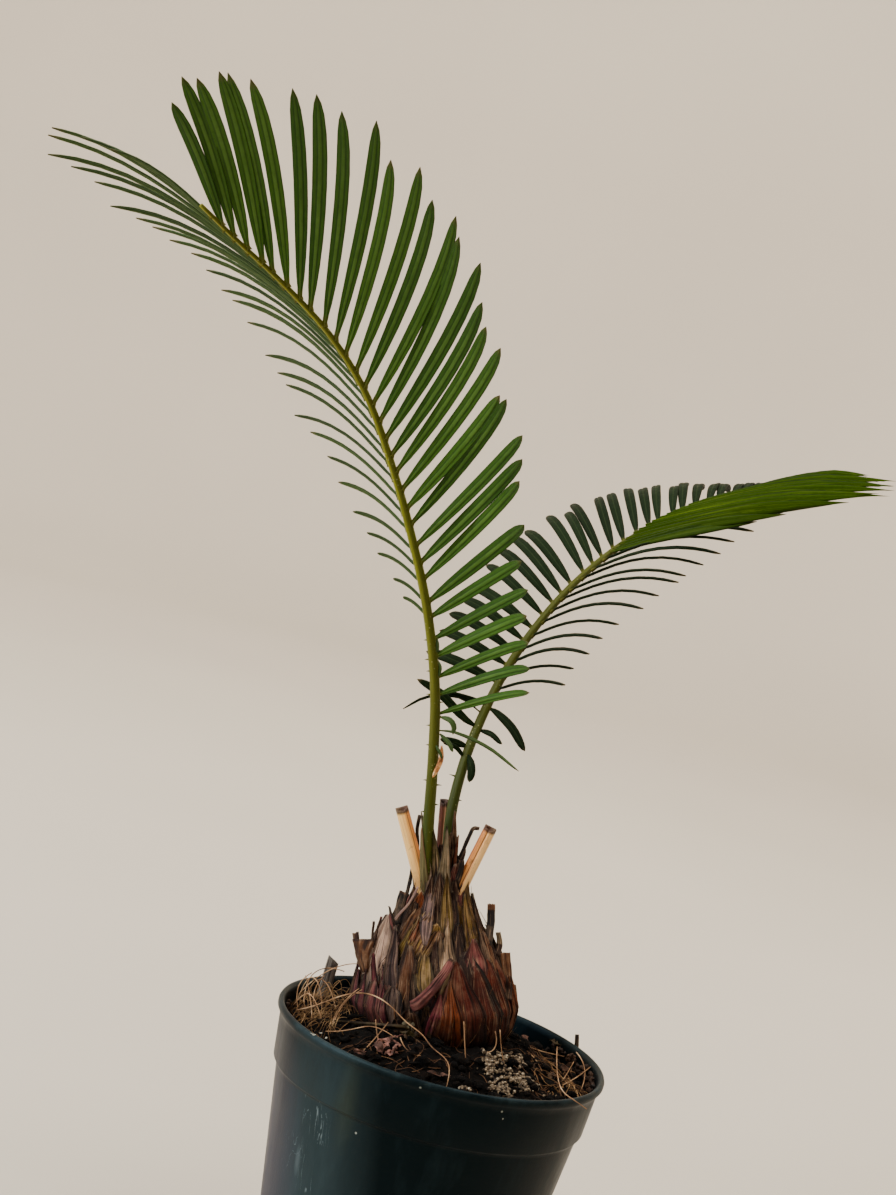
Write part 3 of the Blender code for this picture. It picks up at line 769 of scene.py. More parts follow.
def midribMaterial(name, foot, low, high, pale, streakAndShade):
    skin = Finish(name, 0.46, 0.12, (1.0, 1.0, 0.85))
    around, along = skin.layers("across", "along")
    streak = skin.streaks(around, along, 0.0, 9.0, 14.0, 1.0, 4)
    # the foot is darker green: partly its own colour, partly painted shade where it lies low by the trunk
    skin.colour = skin.ramp(along, (0.14, foot), (0.30, low), (0.55, high), (1.0, pale))
    skin.cover(streakAndShade, streak, (0.35, 0.6), (0.65, 0.0))
    # painted shade: one side of the midrib, picked by the angle round it, is darkened
    skin.cover(streakAndShade, skin.add(skin.times(around, 0.5), 0.5), (0.17, 0.85), (0.24, 0.1), (0.34, 0.0), (0.44, 0.5))
    dots = skin.node("TexVoronoi", Vector=skin.place(), Scale=620.0).outputs["Distance"]
    dotted = skin.ramp(skin.speckle(skin.place(), 90, 2), (0.5, 0.0), (0.6, 1.0))
    skin.cover((158, 156, 100), skin.times(skin.ramp(dots, (0.12, 0.5), (0.22, 0.0)), dotted))
    return skin.finish(skin.add(streak, skin.times(dots, -0.3)), 0.3, 0.0006)


bladeSkins = dict(
    tall=leafMaterial("tallLeafBlade", upper=((36, 54, 28), (68, 90, 46), (96, 116, 62)),
                      lower=((36, 70, 14), (62, 100, 28)), band=(90, 126, 52), line=(22, 44, 8), edge=(26, 46, 10),
                      young=((30, 50, 4), (60, 86, 10), (120, 140, 60)), gloss=0.48, shine=0.16,
                      sheenTint=(0.94, 1.0, 0.75)),
    low=leafMaterial("lowLeafBlade", upper=((7, 17, 9), (19, 34, 17), (44, 58, 32)),
                     lower=((26, 40, 14), (46, 62, 22)), band=(80, 100, 48), line=(11, 20, 8), edge=(12, 20, 9),
                     young=((27, 50, 0), (54, 77, 2), (112, 134, 24)), gloss=0.52, shine=0.06,
                     sheenTint=(0.9, 1.0, 0.4)),
)
midribSkins = dict(
    tall=midribMaterial("tallMidrib", (44, 58, 26), (98, 98, 30), (130, 132, 34), (152, 148, 42), (66, 70, 14)),
    low=midribMaterial("lowMidrib", (42, 58, 24), (82, 88, 22), (96, 98, 24), (108, 106, 32), (48, 52, 12)),
)


def makeLeaf(name, spec):
    rng = random.Random(spec["seed"])
    slot, node = "leaf_" + name, name + "_leaf"
    route = Route(smoothPath([onTrunk(*spec["foot"], trunk["stalksFrom"]), spec["neck"]] + spec["midrib"]))
    bm = bmesh.new()
    addMidrib(bm, newLayers(bm, "across", "along"), spec, route)
    makePiece(bm, name + "LeafMidrib", midribSkins[name], slot, [node])
    for rowName, row in spec["rows"].items():
        bm = bmesh.new()
        layers = newLayers(bm, "across", "along", "tint", "under", "young")
        first, last = (share * route.length for share in row["reach"])
        s, count = first, 0
        while s < last:
            change = row.get("changes", {}).get(count, (0, 1))
            addLeaflet(bm, layers, spec, row, route, s + rng.gauss(0, 0.5), rng, *change)
            s += between(row["pitch"], (s - first) / (last - first))
            count += 1
        makePiece(bm, name + "Leaf" + rowName, bladeSkins[name], slot, [node], merge=0)
        print(name, rowName, count, "leaflets")
    return route


leaves = dict(tall=tallLeaf, low=lowLeaf)
routes = {name: makeLeaf(name, spec) for name, spec in leaves.items()}

# odd leaflets near the feet of the leaves and a torn strip of bark: points, width, degrees turned about their length
looseLeaflets = dict(
    low=[
        ([(-13.8, 32, 238.6), (-9.8, 29, 237.6), (-2.9, 24, 234), (3.8, 20, 227.3)], 3.6, 10),
        ([(-18.6, 24.5, 219.3), (-16, 20, 217.6), (-14.6, 18, 214.2), (-14.4, 17, 210.3)], 3.4, -20),
        ([(-15.4, 29, 229.6), (-10.3, 24, 229.9), (-5.5, 22, 227.4)], 2.4, 30),
        ([(-16.5, 29, 230.4), (-23.4, 27, 233.4), (-34.2, 25, 240.3), (-44.3, 24, 243.5)], 3.6, 0),
        ([(-17, 31, 236.3), (-26.2, 29, 240.0), (-38.3, 24, 237.7), (-46.6, 20, 231.2)], 1.5, 40),
        ([(-18.2, 26, 222.4), (-23.6, 23, 223.3), (-29.6, 22, 223.1)], 3.0, -10),
        ([(-18.8, 24, 218), (-22.7, 21, 221.4), (-28.1, 20, 222.2)], 2.0, 25),
        ([(-14.4, 33, 239.5), (-22, 30, 240.4), (-34, 27, 241)], 2.4, 35),
    ],
    tall=[
        ([(-31.5, 2, 229.2), (-23.7, 4, 229.8), (-10.1, 10, 226.4), (3.1, 12, 220.2)], 1.5, 35),
        ([(-32, 0, 234.6), (-28.1, -2, 234.7), (-25.8, -2, 232.6), (-25.6, -2, 229.6)], 2.2, 10),
        ([(-42.2, -1, 265), (-40.1, -3, 262.6), (-39.2, -3, 259.8), (-39.8, -2, 256.6)], 1.9, 60),
        ([(-38.3, -1, 255.7), (-36.4, -2, 253.1), (-36.3, -2, 249.6)], 1.6, 50),
        ([(-30.4, 1, 228.2), (-25.8, 0, 225.6), (-23.8, 0, 222.8)], 1.9, 30),
        ([(-31.4, 0.6, 224.2), (-28.6, -1, 221.6), (-27.2, -1, 219.4)], 1.2, 30),
    ],
)
tornStrip = ([(-28.6, 0.4, 224), (-27.4, -0.6, 219), (-27.9, -0.4, 214.5), (-28.8, 0, 211.2)], 2.0, 20)
# small thorns on the leaf stalks: share of the midrib, angle round it, length
thorns = dict(
    tall=[(0.185, 0, 2.0), (0.19, 170, 1.4), (0.215, 10, 1.6), (0.235, 175, 1.2), (0.26, 180, 1.4), (0.29, 5, 1.2),
          (0.30, 180, 1.6), (0.33, 175, 1.2), (0.345, 180, 1.6), (0.37, 178, 1.2), (0.16, 5, 1.4), (0.15, 178, 1.2)],
    low=[(0.20, 180, 2.4), (0.225, 5, 1.2), (0.255, 178, 1.4), (0.17, 0, 1.2)],
)


def addLooseLeaflet(bm, layers, rng, points, width, turn):
    route = Route(smoothPath(points))
    tint = rng.random()
    for v in copyBlank(bm, leafletShape):
        t, c, h = v.co
        ahead = route.direction(t * route.length, 1.0)
        face = squareTo(ahead, Vector((0, -1, 0)))
        across, out = turned(ahead.cross(face), face, math.radians(turn + 25 * (t - 0.5)))
        w = width / 2 * readTable(leaflet["outline"], t)
        taper = min(1.0, 0.25 + 2.2 * w / leaflet["thickness"] / 5)
        mark(v, layers, across=c, along=t, tint=tint)
        v.co = route.point(t * route.length) + across * (w * c) + out * (h * taper)


def addThorns(bm, layers, spec, route, rows):
    blank = rodBlank(sides=8, cuts=4)
    for share, angle, length in rows:
        at = route.point(share * route.length)
        _, ahead, up, _ = leafDirections(spec, route, share * route.length)
        away = squareTo(ahead, Vector((math.cos(math.radians(angle)), 0, 0)) + up * 0.1)
        aside = ahead.cross(away)
        thick = between(spec["stalkRadius"], share)
        for v, _, t in copyRod(bm, blank):
            mark(v, layers, across=0.2, along=share)
            v.co = (at + away * (thick * 0.7 + (length + 0.3 * thick) * t)
                    + (ahead * (v.co.x + t * 1.2) + aside * v.co.y) * 0.45 * (1.06 - t))


def makeLooseLeaflets():
    rng = random.Random(51)
    for name, group in looseLeaflets.items():
        bm = bmesh.new()
        layers = newLayers(bm, "across", "along", "tint", "under", "young")
        for spec in group:
            addLooseLeaflet(bm, layers, rng, *spec)
        makePiece(bm, name + "Loose", bladeSkins[name], "leaf_" + name, merge=0)
    for name, rows in thorns.items():
        bm = bmesh.new()
        addThorns(bm, newLayers(bm, "across", "along"), leaves[name], routes[name], rows)
        makePiece(bm, name + "Thorns", midribSkins[name], "leaf_" + name, merge=0)
    bark = speckledMaterial("tornBark", 0.6, 0.3, 420, 5, ((0.35, (120, 70, 34)), (0.5, (214, 148, 88)),
                                                           (0.66, (236, 196, 144))), 0.6, 0.0006)
    bm = bmesh.new()
    addLooseLeaflet(bm, newLayers(bm, "across", "along", "tint"), rng, *tornStrip)
    makePiece(bm, "tornStrip", bark, "old_stalk", merge=0)


makeLooseLeaflets()
print("leaves ready")

core = dict(radius=[(-14, 11), (-6, 18), (0, 22.5), (8, 27.5), (15, 29), (24, 26.4), (34, 21), (43, 15.4), (52, 10.5),
                    (60, 9.7), (70, 8.4), (76, 3.0)], bottom=-13, top=74)
shades = dict(red=(104, 32, 8), rust=(142, 62, 18), umber=(50, 26, 14), brown=(92, 54, 26), mauve=(122, 62, 60),
              plum=(132, 50, 62), lilac=(118, 90, 82), rose=(158, 124, 108), olive=(112, 84, 26),
              straw=(178, 146, 110), grey=(124, 104, 78), black=(14, 9, 7), sheath=(74, 66, 32))
# how a scale ends: share of the length where it starts to narrow, fullness of the curve, tearing, width at the foot
ends = dict(point=(0.28, 1.35, 0.05, 0.78), long=(0.10, 1.2, 0.04, 0.78), torn=(0.55, 2.0, 0.13, 0.78),
            hanging=(0.74, 1.7, 0.04, 0.30))
scale = dict(
    outline=[(-6, 24), (0, 27), (8, 31), (15.5, 32), (31, 26.5), (43, 19.5), (51, 14.8), (58.7, 11), (66.6, 9),
             (78, 8.4), (95, 8)],
    # rings all round: scales in the ring, foot height, length, width
    rings=[(11, -3, 27, 17), (11, 3, 28, 17), (10, 9, 29, 17), (10, 16, 28, 16), (9, 23, 27, 14.5), (9, 30, 25, 13),
           (8, 37, 23, 11.5), (7, 44, 21, 10), (6, 50, 20, 8), (5, 56, 18, 6.5)],
    # grids of the ring scales and of the finer front scales; between the hidden angles the front ones lie on top
    thickness=0.5, grid=(16, 14), fineGrid=(38, 22), hidden=(-178, -4),
    # the shades of each region: highest angle, highest height, shades; -90 is the front
    zones=[(-110, 26, ("plum", "mauve", "umber", "mauve")), (-84, 24, ("umber", "umber", "brown")),
           (0, 30, ("red", "red", "umber", "rust")), (-124, 54, ("umber", "mauve", "straw", "umber")),
           (-76, 54, ("brown", "olive", "umber", "brown")), (0, 56, ("umber", "olive", "umber", "brown")),
           (0, 99, ("umber", "black", "brown", "umber")), (180, 30, ("red", "mauve", "umber")),
           (180, 99, ("umber", "olive", "brown", "grey"))],
)
# scales placed one by one on the front: foot angle, foot height, tip angle, tip height, width, stand-off, shade, end
frontScales = dict(
    footScales=[
        (-176, 2, -181, 30, 7, 3.4, "plum", "long"), (-170, 0, -176, 27, 7, 2.6, "brown", "long"),
        (-163, 1, -166, 28, 7, 2.6, "plum", "long"), (-148, -4, -150, 30, 7, 3.2, "plum", "long"),
        (-156, 0, -158, 27, 6, 2.0, "umber", "long"), (-141, 0, -143, 28, 6, 2.0, "umber", "torn"),
        (-133, -2, -136, 29, 9, 2.4, "mauve", "torn"), (-126, 0, -128, 26, 6, 2.8, "plum", "long"),
        (-119, 2, -121, 27, 9, 2.6, "lilac", "torn"), (-112, -2, -112, 16, 9, 1.0, "umber", "torn"),
        (-104, 2, -106, 19, 9, 1.6, "brown", "torn"), (-96, 0, -96, 20, 8, 1.0, "black", "point"),
        (-58, -4, -64, 40, 32, 1.8, "umber", "point"), (-70, -5, -75, 37, 25, 3.0, "red", "point"),
        (-79, -4, -80, 30, 14, 3.4, "rust", "point"), (-52, -4, -57, 35, 21, 2.6, "red", "point"),
        (-38, -3, -45, 37, 18, 2.4, "red", "point"), (-30, 0, -36, 33, 10, 2.6, "umber", "long"),
        (-21, -2, -28, 36, 13, 2.0, "red", "point"), (-13, -2, -24, 30, 8, 3.0, "rust", "long"),
        (-7, 0, -13, 32, 8, 2.6, "rust", "long"), (-91, 2, -86, 25, 10, 2.6, "plum", "point"),
        (-92, 9, -79, 35, 5, 4.6, "straw", "long"), (-88, 6, -80, 30, 4, 4.8, "mauve", "long"),
        (-2, -2, -6, 25, 9, 1.8, "brown", "point"),
    ],
    middleScales=[
        (-150, 18, -165, 50, 27, 5.0, "rose", "point"), (-138, 15, -144, 36, 5, 6.2, "plum", "long"),
        (-123, 17, -137, 47, 9, 4.2, "lilac", "long"), (-132, 36, -158, 50, 5, 5.0, "mauve", "long"),
        (-140, 40, -172, 52, 6, 5.6, "umber", "long"), (-113, 14, -122, 42, 6, 2.6, "umber", "long"),
        (-108, 13, -115, 41, 11, 3.6, "brown", "point"), (-103, 14, -108, 37, 6, 4.0, "umber", "long"),
        (-103, 41, -96, 22, 8, 4.4, "olive", "hanging"), (-92, 22, -92, 44, 7, 2.2, "umber", "long"),
        (-86, 26, -88, 46, 6, 3.2, "grey", "long"), (-80, 24, -80, 49, 8, 3.6, "straw", "point"),
        (-71, 22, -67, 49, 9, 2.8, "umber", "long"), (-62, 18, -54, 44, 17, 3.6, "mauve", "point"),
        (-48, 22, -50, 44, 9, 3.2, "umber", "point"), (-40, 20, -40, 46, 10, 2.8, "umber", "long"),
        (-32, 18, -32, 46, 10, 2.4, "brown", "long"), (-24, 18, -24, 46, 9, 2.4, "umber", "long"),
        (-14, 14, -14, 44, 9, 2.0, "umber", "long"), (-66, 34, -66, 50, 5, 2.2, "umber", "torn"),
    ],
    neckScales=[
        (-54, 28, -46, 60, 10, 2.2, "olive", "long"), (-44, 28, -36, 66, 11, 3.0, "olive", "long"),
        (-34, 28, -26, 60, 8, 2.4, "umber", "long"), (-136, 36, -118, 55, 7, 3.0, "brown", "torn"),
        (-128, 32, -106, 54, 7, 3.2, "olive", "torn"), (-144, 40, -130, 57, 6, 3.0, "umber", "torn"),
        (-118, 33, -100, 53, 7, 3.4, "brown", "torn"), (-108, 34, -92, 50, 8, 3.0, "olive", "torn"),
        (-98, 36, -88, 47, 7, 2.6, "brown", "torn"), (-122, 36, -112, 50, 4, 4.2, "rust", "long"),
        (-134, 46, -122, 60, 5, 2.6, "rust", "torn"), (-92, 40, -92, 68, 10, 2.4, "umber", "point"),
        (-82, 40, -86, 85, 7.5, 3.6, "grey", "point"), (-79, 38, -82, 68, 6, 4.2, "olive", "point"),
        (-74, 40, -70, 62, 6, 2.2, "umber", "torn"), (-108, 46, -110, 66, 6, 1.6, "umber", "point"),
        (-112, 70, -101, 40, 5.0, 4.8, "lilac", "hanging"), (-112, 50, -124, 76, 4, 2.4, "grey", "long"),
        (-66, 48, -60, 66, 5, 2.0, "umber", "torn"), (-62, 54, -58, 72, 5, 2.2, "mauve", "torn"),
        (-66, 58, -66, 92, 5, 1.6, "brown", "long"), (-56, 58, -56, 82, 4, 2.0, "red", "long"),
        (-80, 64, -85, 86, 4.2, 2.4, "brown", "long"), (-90, 60, -92, 80, 5, 1.2, "umber", "torn"),
        (-74, 62, -74, 84, 4, 1.4, "umber", "torn"), (-72, 60, -76, 76, 4, 2.0, "brown", "torn"),
        (-118, 60, -150, 90, 5, 2.6, "sheath", "long"), (-104, 60, -112, 84, 6, 2.8, "sheath", "long"),
        (-50, 50, -42, 64, 5, 2.6, "mauve", "torn"), (-148, 50, -160, 66, 4, 1.6, "umber", "torn"),
    ],
)
# broken ends and spikes: points are (angle, height, stand-off), wide and thick are half sizes, twist turns the flat
# side round, grow is the width at the end against the foot, endAt is the share where the end's shade starts
stubs = dict(
    hook=dict(points=[(-44, 72, 0.4), (-40, 76, 1.8), (-30, 81.5, 3.4), (-25, 84, 4.2), (-18, 84, 6.0)], wide=0.95,
              thick=0.7, shade="black", end="umber"),
    rightPost=dict(points=[(-30, 40, 1), (-22, 47, 4.4), (-16, 55.5, 8.0)], wide=1.6, thick=0.9, twist=60, grow=0.9,
                   shade="black", end="brown", endAt=0.86),
    rightSpike=dict(points=[(-20, 36, 1), (-14, 40, 3.4), (-12, 44.5, 5.0)], wide=1.3, thick=0.5, twist=60,
                    shade="umber", end="grey", endAt=0.5),
    rightFlat=dict(creases=0.8, points=[(-26, 20, 0.4), (-20, 29, 2.0), (-16, 37.2, 4.4)], wide=1.9, thick=0.6,
                   twist=62, grow=1.0, shade="umber", end="brown", endAt=0.5),
    leftPost=dict(points=[(-150, 46, 0.5), (-152, 52, 3.0), (-150, 58.5, 5.0)], wide=1.7, thick=0.7, twist=-40,
                  grow=1.2, shade="black", end="umber"),
    paleSliver=dict(points=[(-146, 48, 3.6), (-140, 51, 4.4), (-134, 55, 3.8), (-132, 61, 2.6)], wide=0.7, thick=0.4,
                    shade="lilac", end="rose"),
    darkSliver=dict(points=[(-150, 50, 1.4), (-160, 60, 2.6), (-164, 67, 3.0)], wide=0.7, thick=0.6, shade="black",
                    end="umber"),
    leftTine=dict(points=[(-168, 36, 2), (-170, 41, 5.2), (-168, 46, 8.0)], wide=0.8, thick=0.45, shade="umber",
                  end="umber"),
    leftTine2=dict(points=[(-164, 36, 2), (-162, 42, 5.0), (-160, 48.5, 7.4)], wide=0.8, thick=0.45, grow=0.4,
                   shade="umber", end="mauve"),
    neckStub=dict(points=[(-54, 62, 0), (-50, 68, 2.4), (-50, 72, 2.8)], wide=1.5, thick=0.8, shade="black",
                  end="umber"),
    cup=dict(creases=0.9, points=[(-158, 27, 1.6), (-161, 33, 4.8), (-164, 39.4, 8.4)], wide=1.3, thick=0.7,
             twist=-58, grow=3.3, shade="brown", end="umber", endAt=0.92),
    cupSide=dict(points=[(-164, 27, 1.0), (-168, 34, 6.4), (-172, 41.2, 12.0)], wide=0.6, thick=0.6, twist=-50,
                 grow=2.2, shade="umber", end="umber", endAt=0.9),
    darkPod=dict(points=[(170, 62, 0.5), (176, 74, 1.4), (178, 82, 2.2), (-176, 87.5, 1.6)], wide=1.3, thick=0.7,
                 grow=0.7, shade="black", end="black"),
    mauveRoll=dict(points=[(-104, 19, 2.6), (-100, 20.5, 4.6), (-92, 26, 5.6), (-84, 32, 5.0), (-78, 36, 3.0)],
                   wide=2.4, thick=1.1, grow=0.6, creases=0.9, shade="mauve", end="umber"),
)
# thin fibres on the trunk: front is the share of them in front of it, reach the lowest and highest foot
fibres = dict(count=120, front=0.7, reach=(-6, 52), length=(6, 22), radius=(0.09, 0.20))


def scaleMaterial():
    skin = Finish("dryScale", 0.6, 0.2)
    across, along, tint, ridge, edge = skin.layers("across", "along", "tint", "ridge", "edge")
    shade = skin.node("Attribute", dict(attribute_name="shade")).outputs["Color"]
    fine = skin.streaks(across, along, tint, 1.7, 2.0, roughness=0.65)
    patches, blots = skin.speckle(skin.place(), 110, 5, 0.62), skin.speckle(skin.place(), 260, 4, 0.6)
    skin.colour = skin.blend(skin.ramp(patches, (0.36, 0.55), (0.52, 0.0)), shade, (30, 14, 8))
    fadedAndHighlight = skin.blend(0.34, skin.colour, (220, 178, 140))
    skin.cover(fadedAndHighlight, patches, (0.52, 0.0), (0.70, 0.5))
    # painted highlight on the ridge tops
    crestHighlight = skin.times(skin.ramp(ridge, (0.52, 0.0), (0.80, 1.0)), skin.ramp(blots, (0.38, 0.15), (0.62, 1.0)))
    skin.cover(fadedAndHighlight, crestHighlight)
    # painted shade in the valleys between the ridges
    skin.cover((22, 10, 7), ridge, (0.16, 0.88), (0.40, 0.0))
    skin.cover((24, 11, 7), fine, (0.38, 0.66), (0.48, 0.0))
    # painted shade: each scale is dark towards its foot, where the scales above overlap it
    skin.cover((10, 5, 3), along, (0.0, 0.95), (0.38, 0.0))
    # painted shade along the edges, in the gaps between the scales
    skin.cover((16, 8, 5), edge, (0.62, 0.0), (0.93, 0.8))
    rim = skin.times(skin.ramp(along, (0.93, 0.0), (1.0, 0.4)), skin.ramp(blots, (0.45, 0.0), (0.62, 1.0)))
    skin.cover((168, 146, 118), rim)
    # painted shade: the scales darken towards the ground, where the foot of the trunk lies in shadow
    stain = skin.add(skin.upward(), skin.times(patches, 0.02))
    skin.cover((9, 5, 3), stain, (0.123, 0.93), (0.133, 0.5), (0.156, 0.0))
    return skin.finish(skin.add(fine, skin.times(patches, 0.4)), 0.9, 0.0014, skin.ramp(fine, (0.3, 0.85), (0.7, 0.48)))


drySkin = scaleMaterial()


def scaleBlank(across, along):
    # x runs from edge to edge, y from foot to tip, z is 0 outside and -1 inside
    bm = bmesh.new()
    bmesh.ops.create_grid(bm, x_segments=across, y_segments=along, size=1)
    for v in bm.verts:
        v.co = (v.co.x, (v.co.y + 1) / 2, 0)
    closeUnder(bm, lambda co: -1)
    return keepBlank(bm, "scaleBlank")


def scaleLayers(bm):
    layers = newLayers(bm, "across", "along", "tint", "ridge", "edge")
    layers["shade"] = bm.verts.layers.float_color.new("shade")
    return layers


def addScale(bm, layers, blank, foot, tip, width, lift, shade, end, rng, sink=3.0, turn=0.0):
    # foot and tip are (angle, height); lift is how far the tip stands off, sink how deep the foot lies, and turn
    # makes one edge stand out
    (footAngle, footHeight), (tipAngle, tipHeight) = foot, tip
    narrowAt, fullness, torn, footWidth = ends[end]
    seed, curl, tint = rng.uniform(0, 90), rng.uniform(-0.2, 0.9), rng.random()
    value, keel = rng.uniform(0.75, 1.25), rng.uniform(-0.3, 1.3) * min(1, width / 12)
    colour = tuple(c * value * rng.uniform(0.93, 1.07) for c in linear(shades[shade])[:3]) + (1,)
    for v in copyBlank(bm, blank):
        c, t, under = v.co
        off = c * width / 2  # mm from the middle
        ridge = 0.65 * rough((off, t * 0.9, 0), 0.5, seed + 12) + 0.4 * rough((off, t * 0.5, 0), 1.7, seed + 15)
        mark(v, layers, across=off, along=t, tint=tint, shade=colour, ridge=0.5 + ridge, edge=abs(c))
        cut = torn * (0.4 + 1.2 * abs(rough((off, 0, 0), 3.0, seed)) + 1.0 * abs(rough((off, 0, 0), 0.9, seed + 4)))
        t = t * (1 - cut * min(1, t * 1.3))
        height = footHeight + (tipHeight - footHeight) * t
        narrowed = 1 if t < narrowAt else max(0.03, 1 - ((t - narrowAt) / (1.02 - narrowAt)) ** fullness)
        shape = min(1, footWidth + 1.2 * t) * narrowed
        shape *= 1 + 0.16 * rough((0, t * 5, c), 1, seed + 9)
        radius = readTable(scale["outline"], height) - sink * (1 - t) ** 1.3 + lift * t ** 1.5
        radius += curl * abs(c) ** 3 * (0.3 + t) * min(1, width / 8)
        radius += (0.8 * ridge * min(1, shape + 0.2) + 0.9 * rough((off, t * 14, 0), 7, seed + 8)
                   + keel * (0.5 - abs(c)) * t)
        thick = scale["thickness"] * (1.0 - 0.55 * t)
        angle = footAngle + (tipAngle - footAngle) * t ** 1.2
        sideways = off * shape + 0.8 * rough((0, t * 2.4, 0), 1, seed + 7) * t
        radius += turn * sideways * math.cos(math.radians(angle)) * t
        v.co = aroundTrunk(radius + under * thick, angle + math.degrees(sideways / max(radius, 5.0)), height)


def addStub(bm, layers, blank, rng, points, wide, thick, shade, end, twist=0, grow=0.75, creases=0.4, endAt=0.93):
    route = Route(smoothPath([aroundTrunk(readTable(scale["outline"], h) + out, a, h) for a, h, out in points]))
    seed, twist = rng.uniform(0, 50), Matrix.Rotation(math.radians(twist), 3, "Z")
    for v, angle, t in copyRod(bm, blank):
        s, (x, y, _) = t * route.length, v.co
        at, ahead = route.point(s), route.direction(s, 1.0)
        away = at - trunkFoot
        away -= trunkAxis * away.dot(trunkAxis)
        away = squareTo(ahead, away)
        uneven = (1 + (grow - 1) * t) * (1 + 0.25 * rough((x * 2, y * 2, s / 4), 1, seed))
        flat = twist @ Vector((x * wide * uneven, y * thick * (1 + 0.3 * rough((x * 3, s / 3, 0), 1, seed)), 0))
        crease = creases * rough((angle * wide * 1.4, t * 1.8, 0), 0.8, seed)
        mark(v, layers, across=angle * wide, along=0.55, tint=seed / 50, edge=0.3, ridge=0.5 + crease,
             shade=linear(shades[end if t > endAt else shade]))
        torn = 1.2 * abs(rough((x * 2.5, y, 0), 1, seed + 3)) * max(0, t - 0.8) / 0.2
        v.co = at + ahead.cross(away) * flat.x + away * (flat.y + 0.5 * crease) - ahead * torn


def makeTrunk():
    bm = bmesh.new()
    layers = scaleLayers(bm)
    for v, angle, t in copyRod(bm, rodBlank(sides=48, cuts=40)):
        angle, height = math.degrees(angle), core["bottom"] + (core["top"] - core["bottom"]) * t
        mark(v, layers, across=angle / 3, along=0.5, tint=0.2, shade=linear(shades["umber"]))
        v.co = aroundTrunk(readTable(core["radius"], height), angle, height)
    makePiece(bm, "trunkCore", drySkin, "trunk_core", ["trunk"])
    rng = random.Random(11)
    blank = scaleBlank(*scale["grid"])
    for i, (count, low, length, width) in enumerate(scale["rings"]):
        bm = bmesh.new()
        layers = scaleLayers(bm)
        for j in range(count):
            angle = -180 + 360 * (j + 0.5 * (i % 2)) / count + rng.gauss(0, 5)
            foot = low + rng.gauss(0, 1.5)
            tip = foot + length * rng.uniform(0.8, 1.15)
            choices = next(names for turn, top, names in scale["zones"] if angle <= turn and (foot + tip) / 2 <= top)
            hidden = scale["hidden"][0] < angle < scale["hidden"][1]
            addScale(bm, layers, blank, (angle, foot), (angle + rng.gauss(0, 8), tip), width * rng.uniform(0.7, 1.25),
                     -0.4 if hidden else rng.uniform(0.4, 3.0), rng.choice(choices),
                     rng.choice(("point", "long", "point", "torn")), rng)
        replaced = [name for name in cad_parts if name.startswith(f"scale_{i + 1}_")]
        makePiece(bm, f"dryScales{i + 1}", drySkin, "dry_scale", replaced, merge=0)
    blank = scaleBlank(*scale["fineGrid"])
    for name, group in frontScales.items():
        bm = bmesh.new()
        layers = scaleLayers(bm)
        for footAngle, footHeight, tipAngle, tipHeight, *rest in group:
            addScale(bm, layers, blank, (footAngle, footHeight), (tipAngle, tipHeight), *rest, rng, sink=1.2, turn=0.35)
        makePiece(bm, name, drySkin, "dry_scale", merge=0)
    bm = bmesh.new()
    layers = scaleLayers(bm)
    blank = rodBlank(sides=26, cuts=22)
    for spec in stubs.values():
        addStub(bm, layers, blank, rng, **spec)
    makePiece(bm, "brokenStubs", drySkin, "dry_scale", merge=0)


def makeFibres():
    rng = random.Random(17)
    strands = []
    for _ in range(fibres["count"]):
        angle = rng.uniform(-180, 0) if rng.random() < fibres["front"] else rng.uniform(0, 180)
        height, length = rng.uniform(*fibres["reach"]), rng.uniform(*fibres["length"])
        lean, out = rng.gauss(0, 9), rng.uniform(0.8, 2.0)
        points = []
        for k in range(5):
            t = k / 4
            h = height + length * t
            radius = readTable(scale["outline"], h) + out * t + 1.2 * rough((angle, h, 0), 8) + 0.4
            points.append(aroundTrunk(radius, angle + lean * t + 6 * rough((h, angle, 3), 9), h))
        thick = rng.uniform(*fibres["radius"])
        strands.append((points, thick, thick * 0.4))
    skin = speckledMaterial("dryFibre", 0.7, 0.25, 230, 3, ((0.32, (22, 12, 8)), (0.52, (84, 50, 26)),
                                                            (0.70, (170, 134, 94))))
    strandPiece("trunkFibres", strands, skin, "dry_scale")


makeTrunk()
makeFibres()

# papery sheaths at the feet of the leaf stalks: how far up they reach, and where the high side of the cut faces
sheaths = dict(
    tall=dict(low=16, high=42, faces=200, radius=2.75, thin=0.35),
    low=dict(low=8, high=24, faces=20, radius=2.6, thin=0.35),
)


def sheathMaterial():
    skin = Finish("paperySheath", 0.6, 0.3)
    around, along = skin.layers("across", "along")
    streaks = skin.streaks(around, along, 0.0, 5.0, 2.0)
    skin.colour = skin.ramp(streaks, (0.32, (40, 34, 16)), (0.52, (82, 74, 38)), (0.70, (120, 108, 66)))
    skin.cover((30, 18, 11), along, (0.0, 0.9), (0.5, 0.1))
    skin.cover((96, 62, 34), along, (0.86, 0.0), (1.0, 0.85))
    return skin.finish(streaks, 0.6, 0.0006)


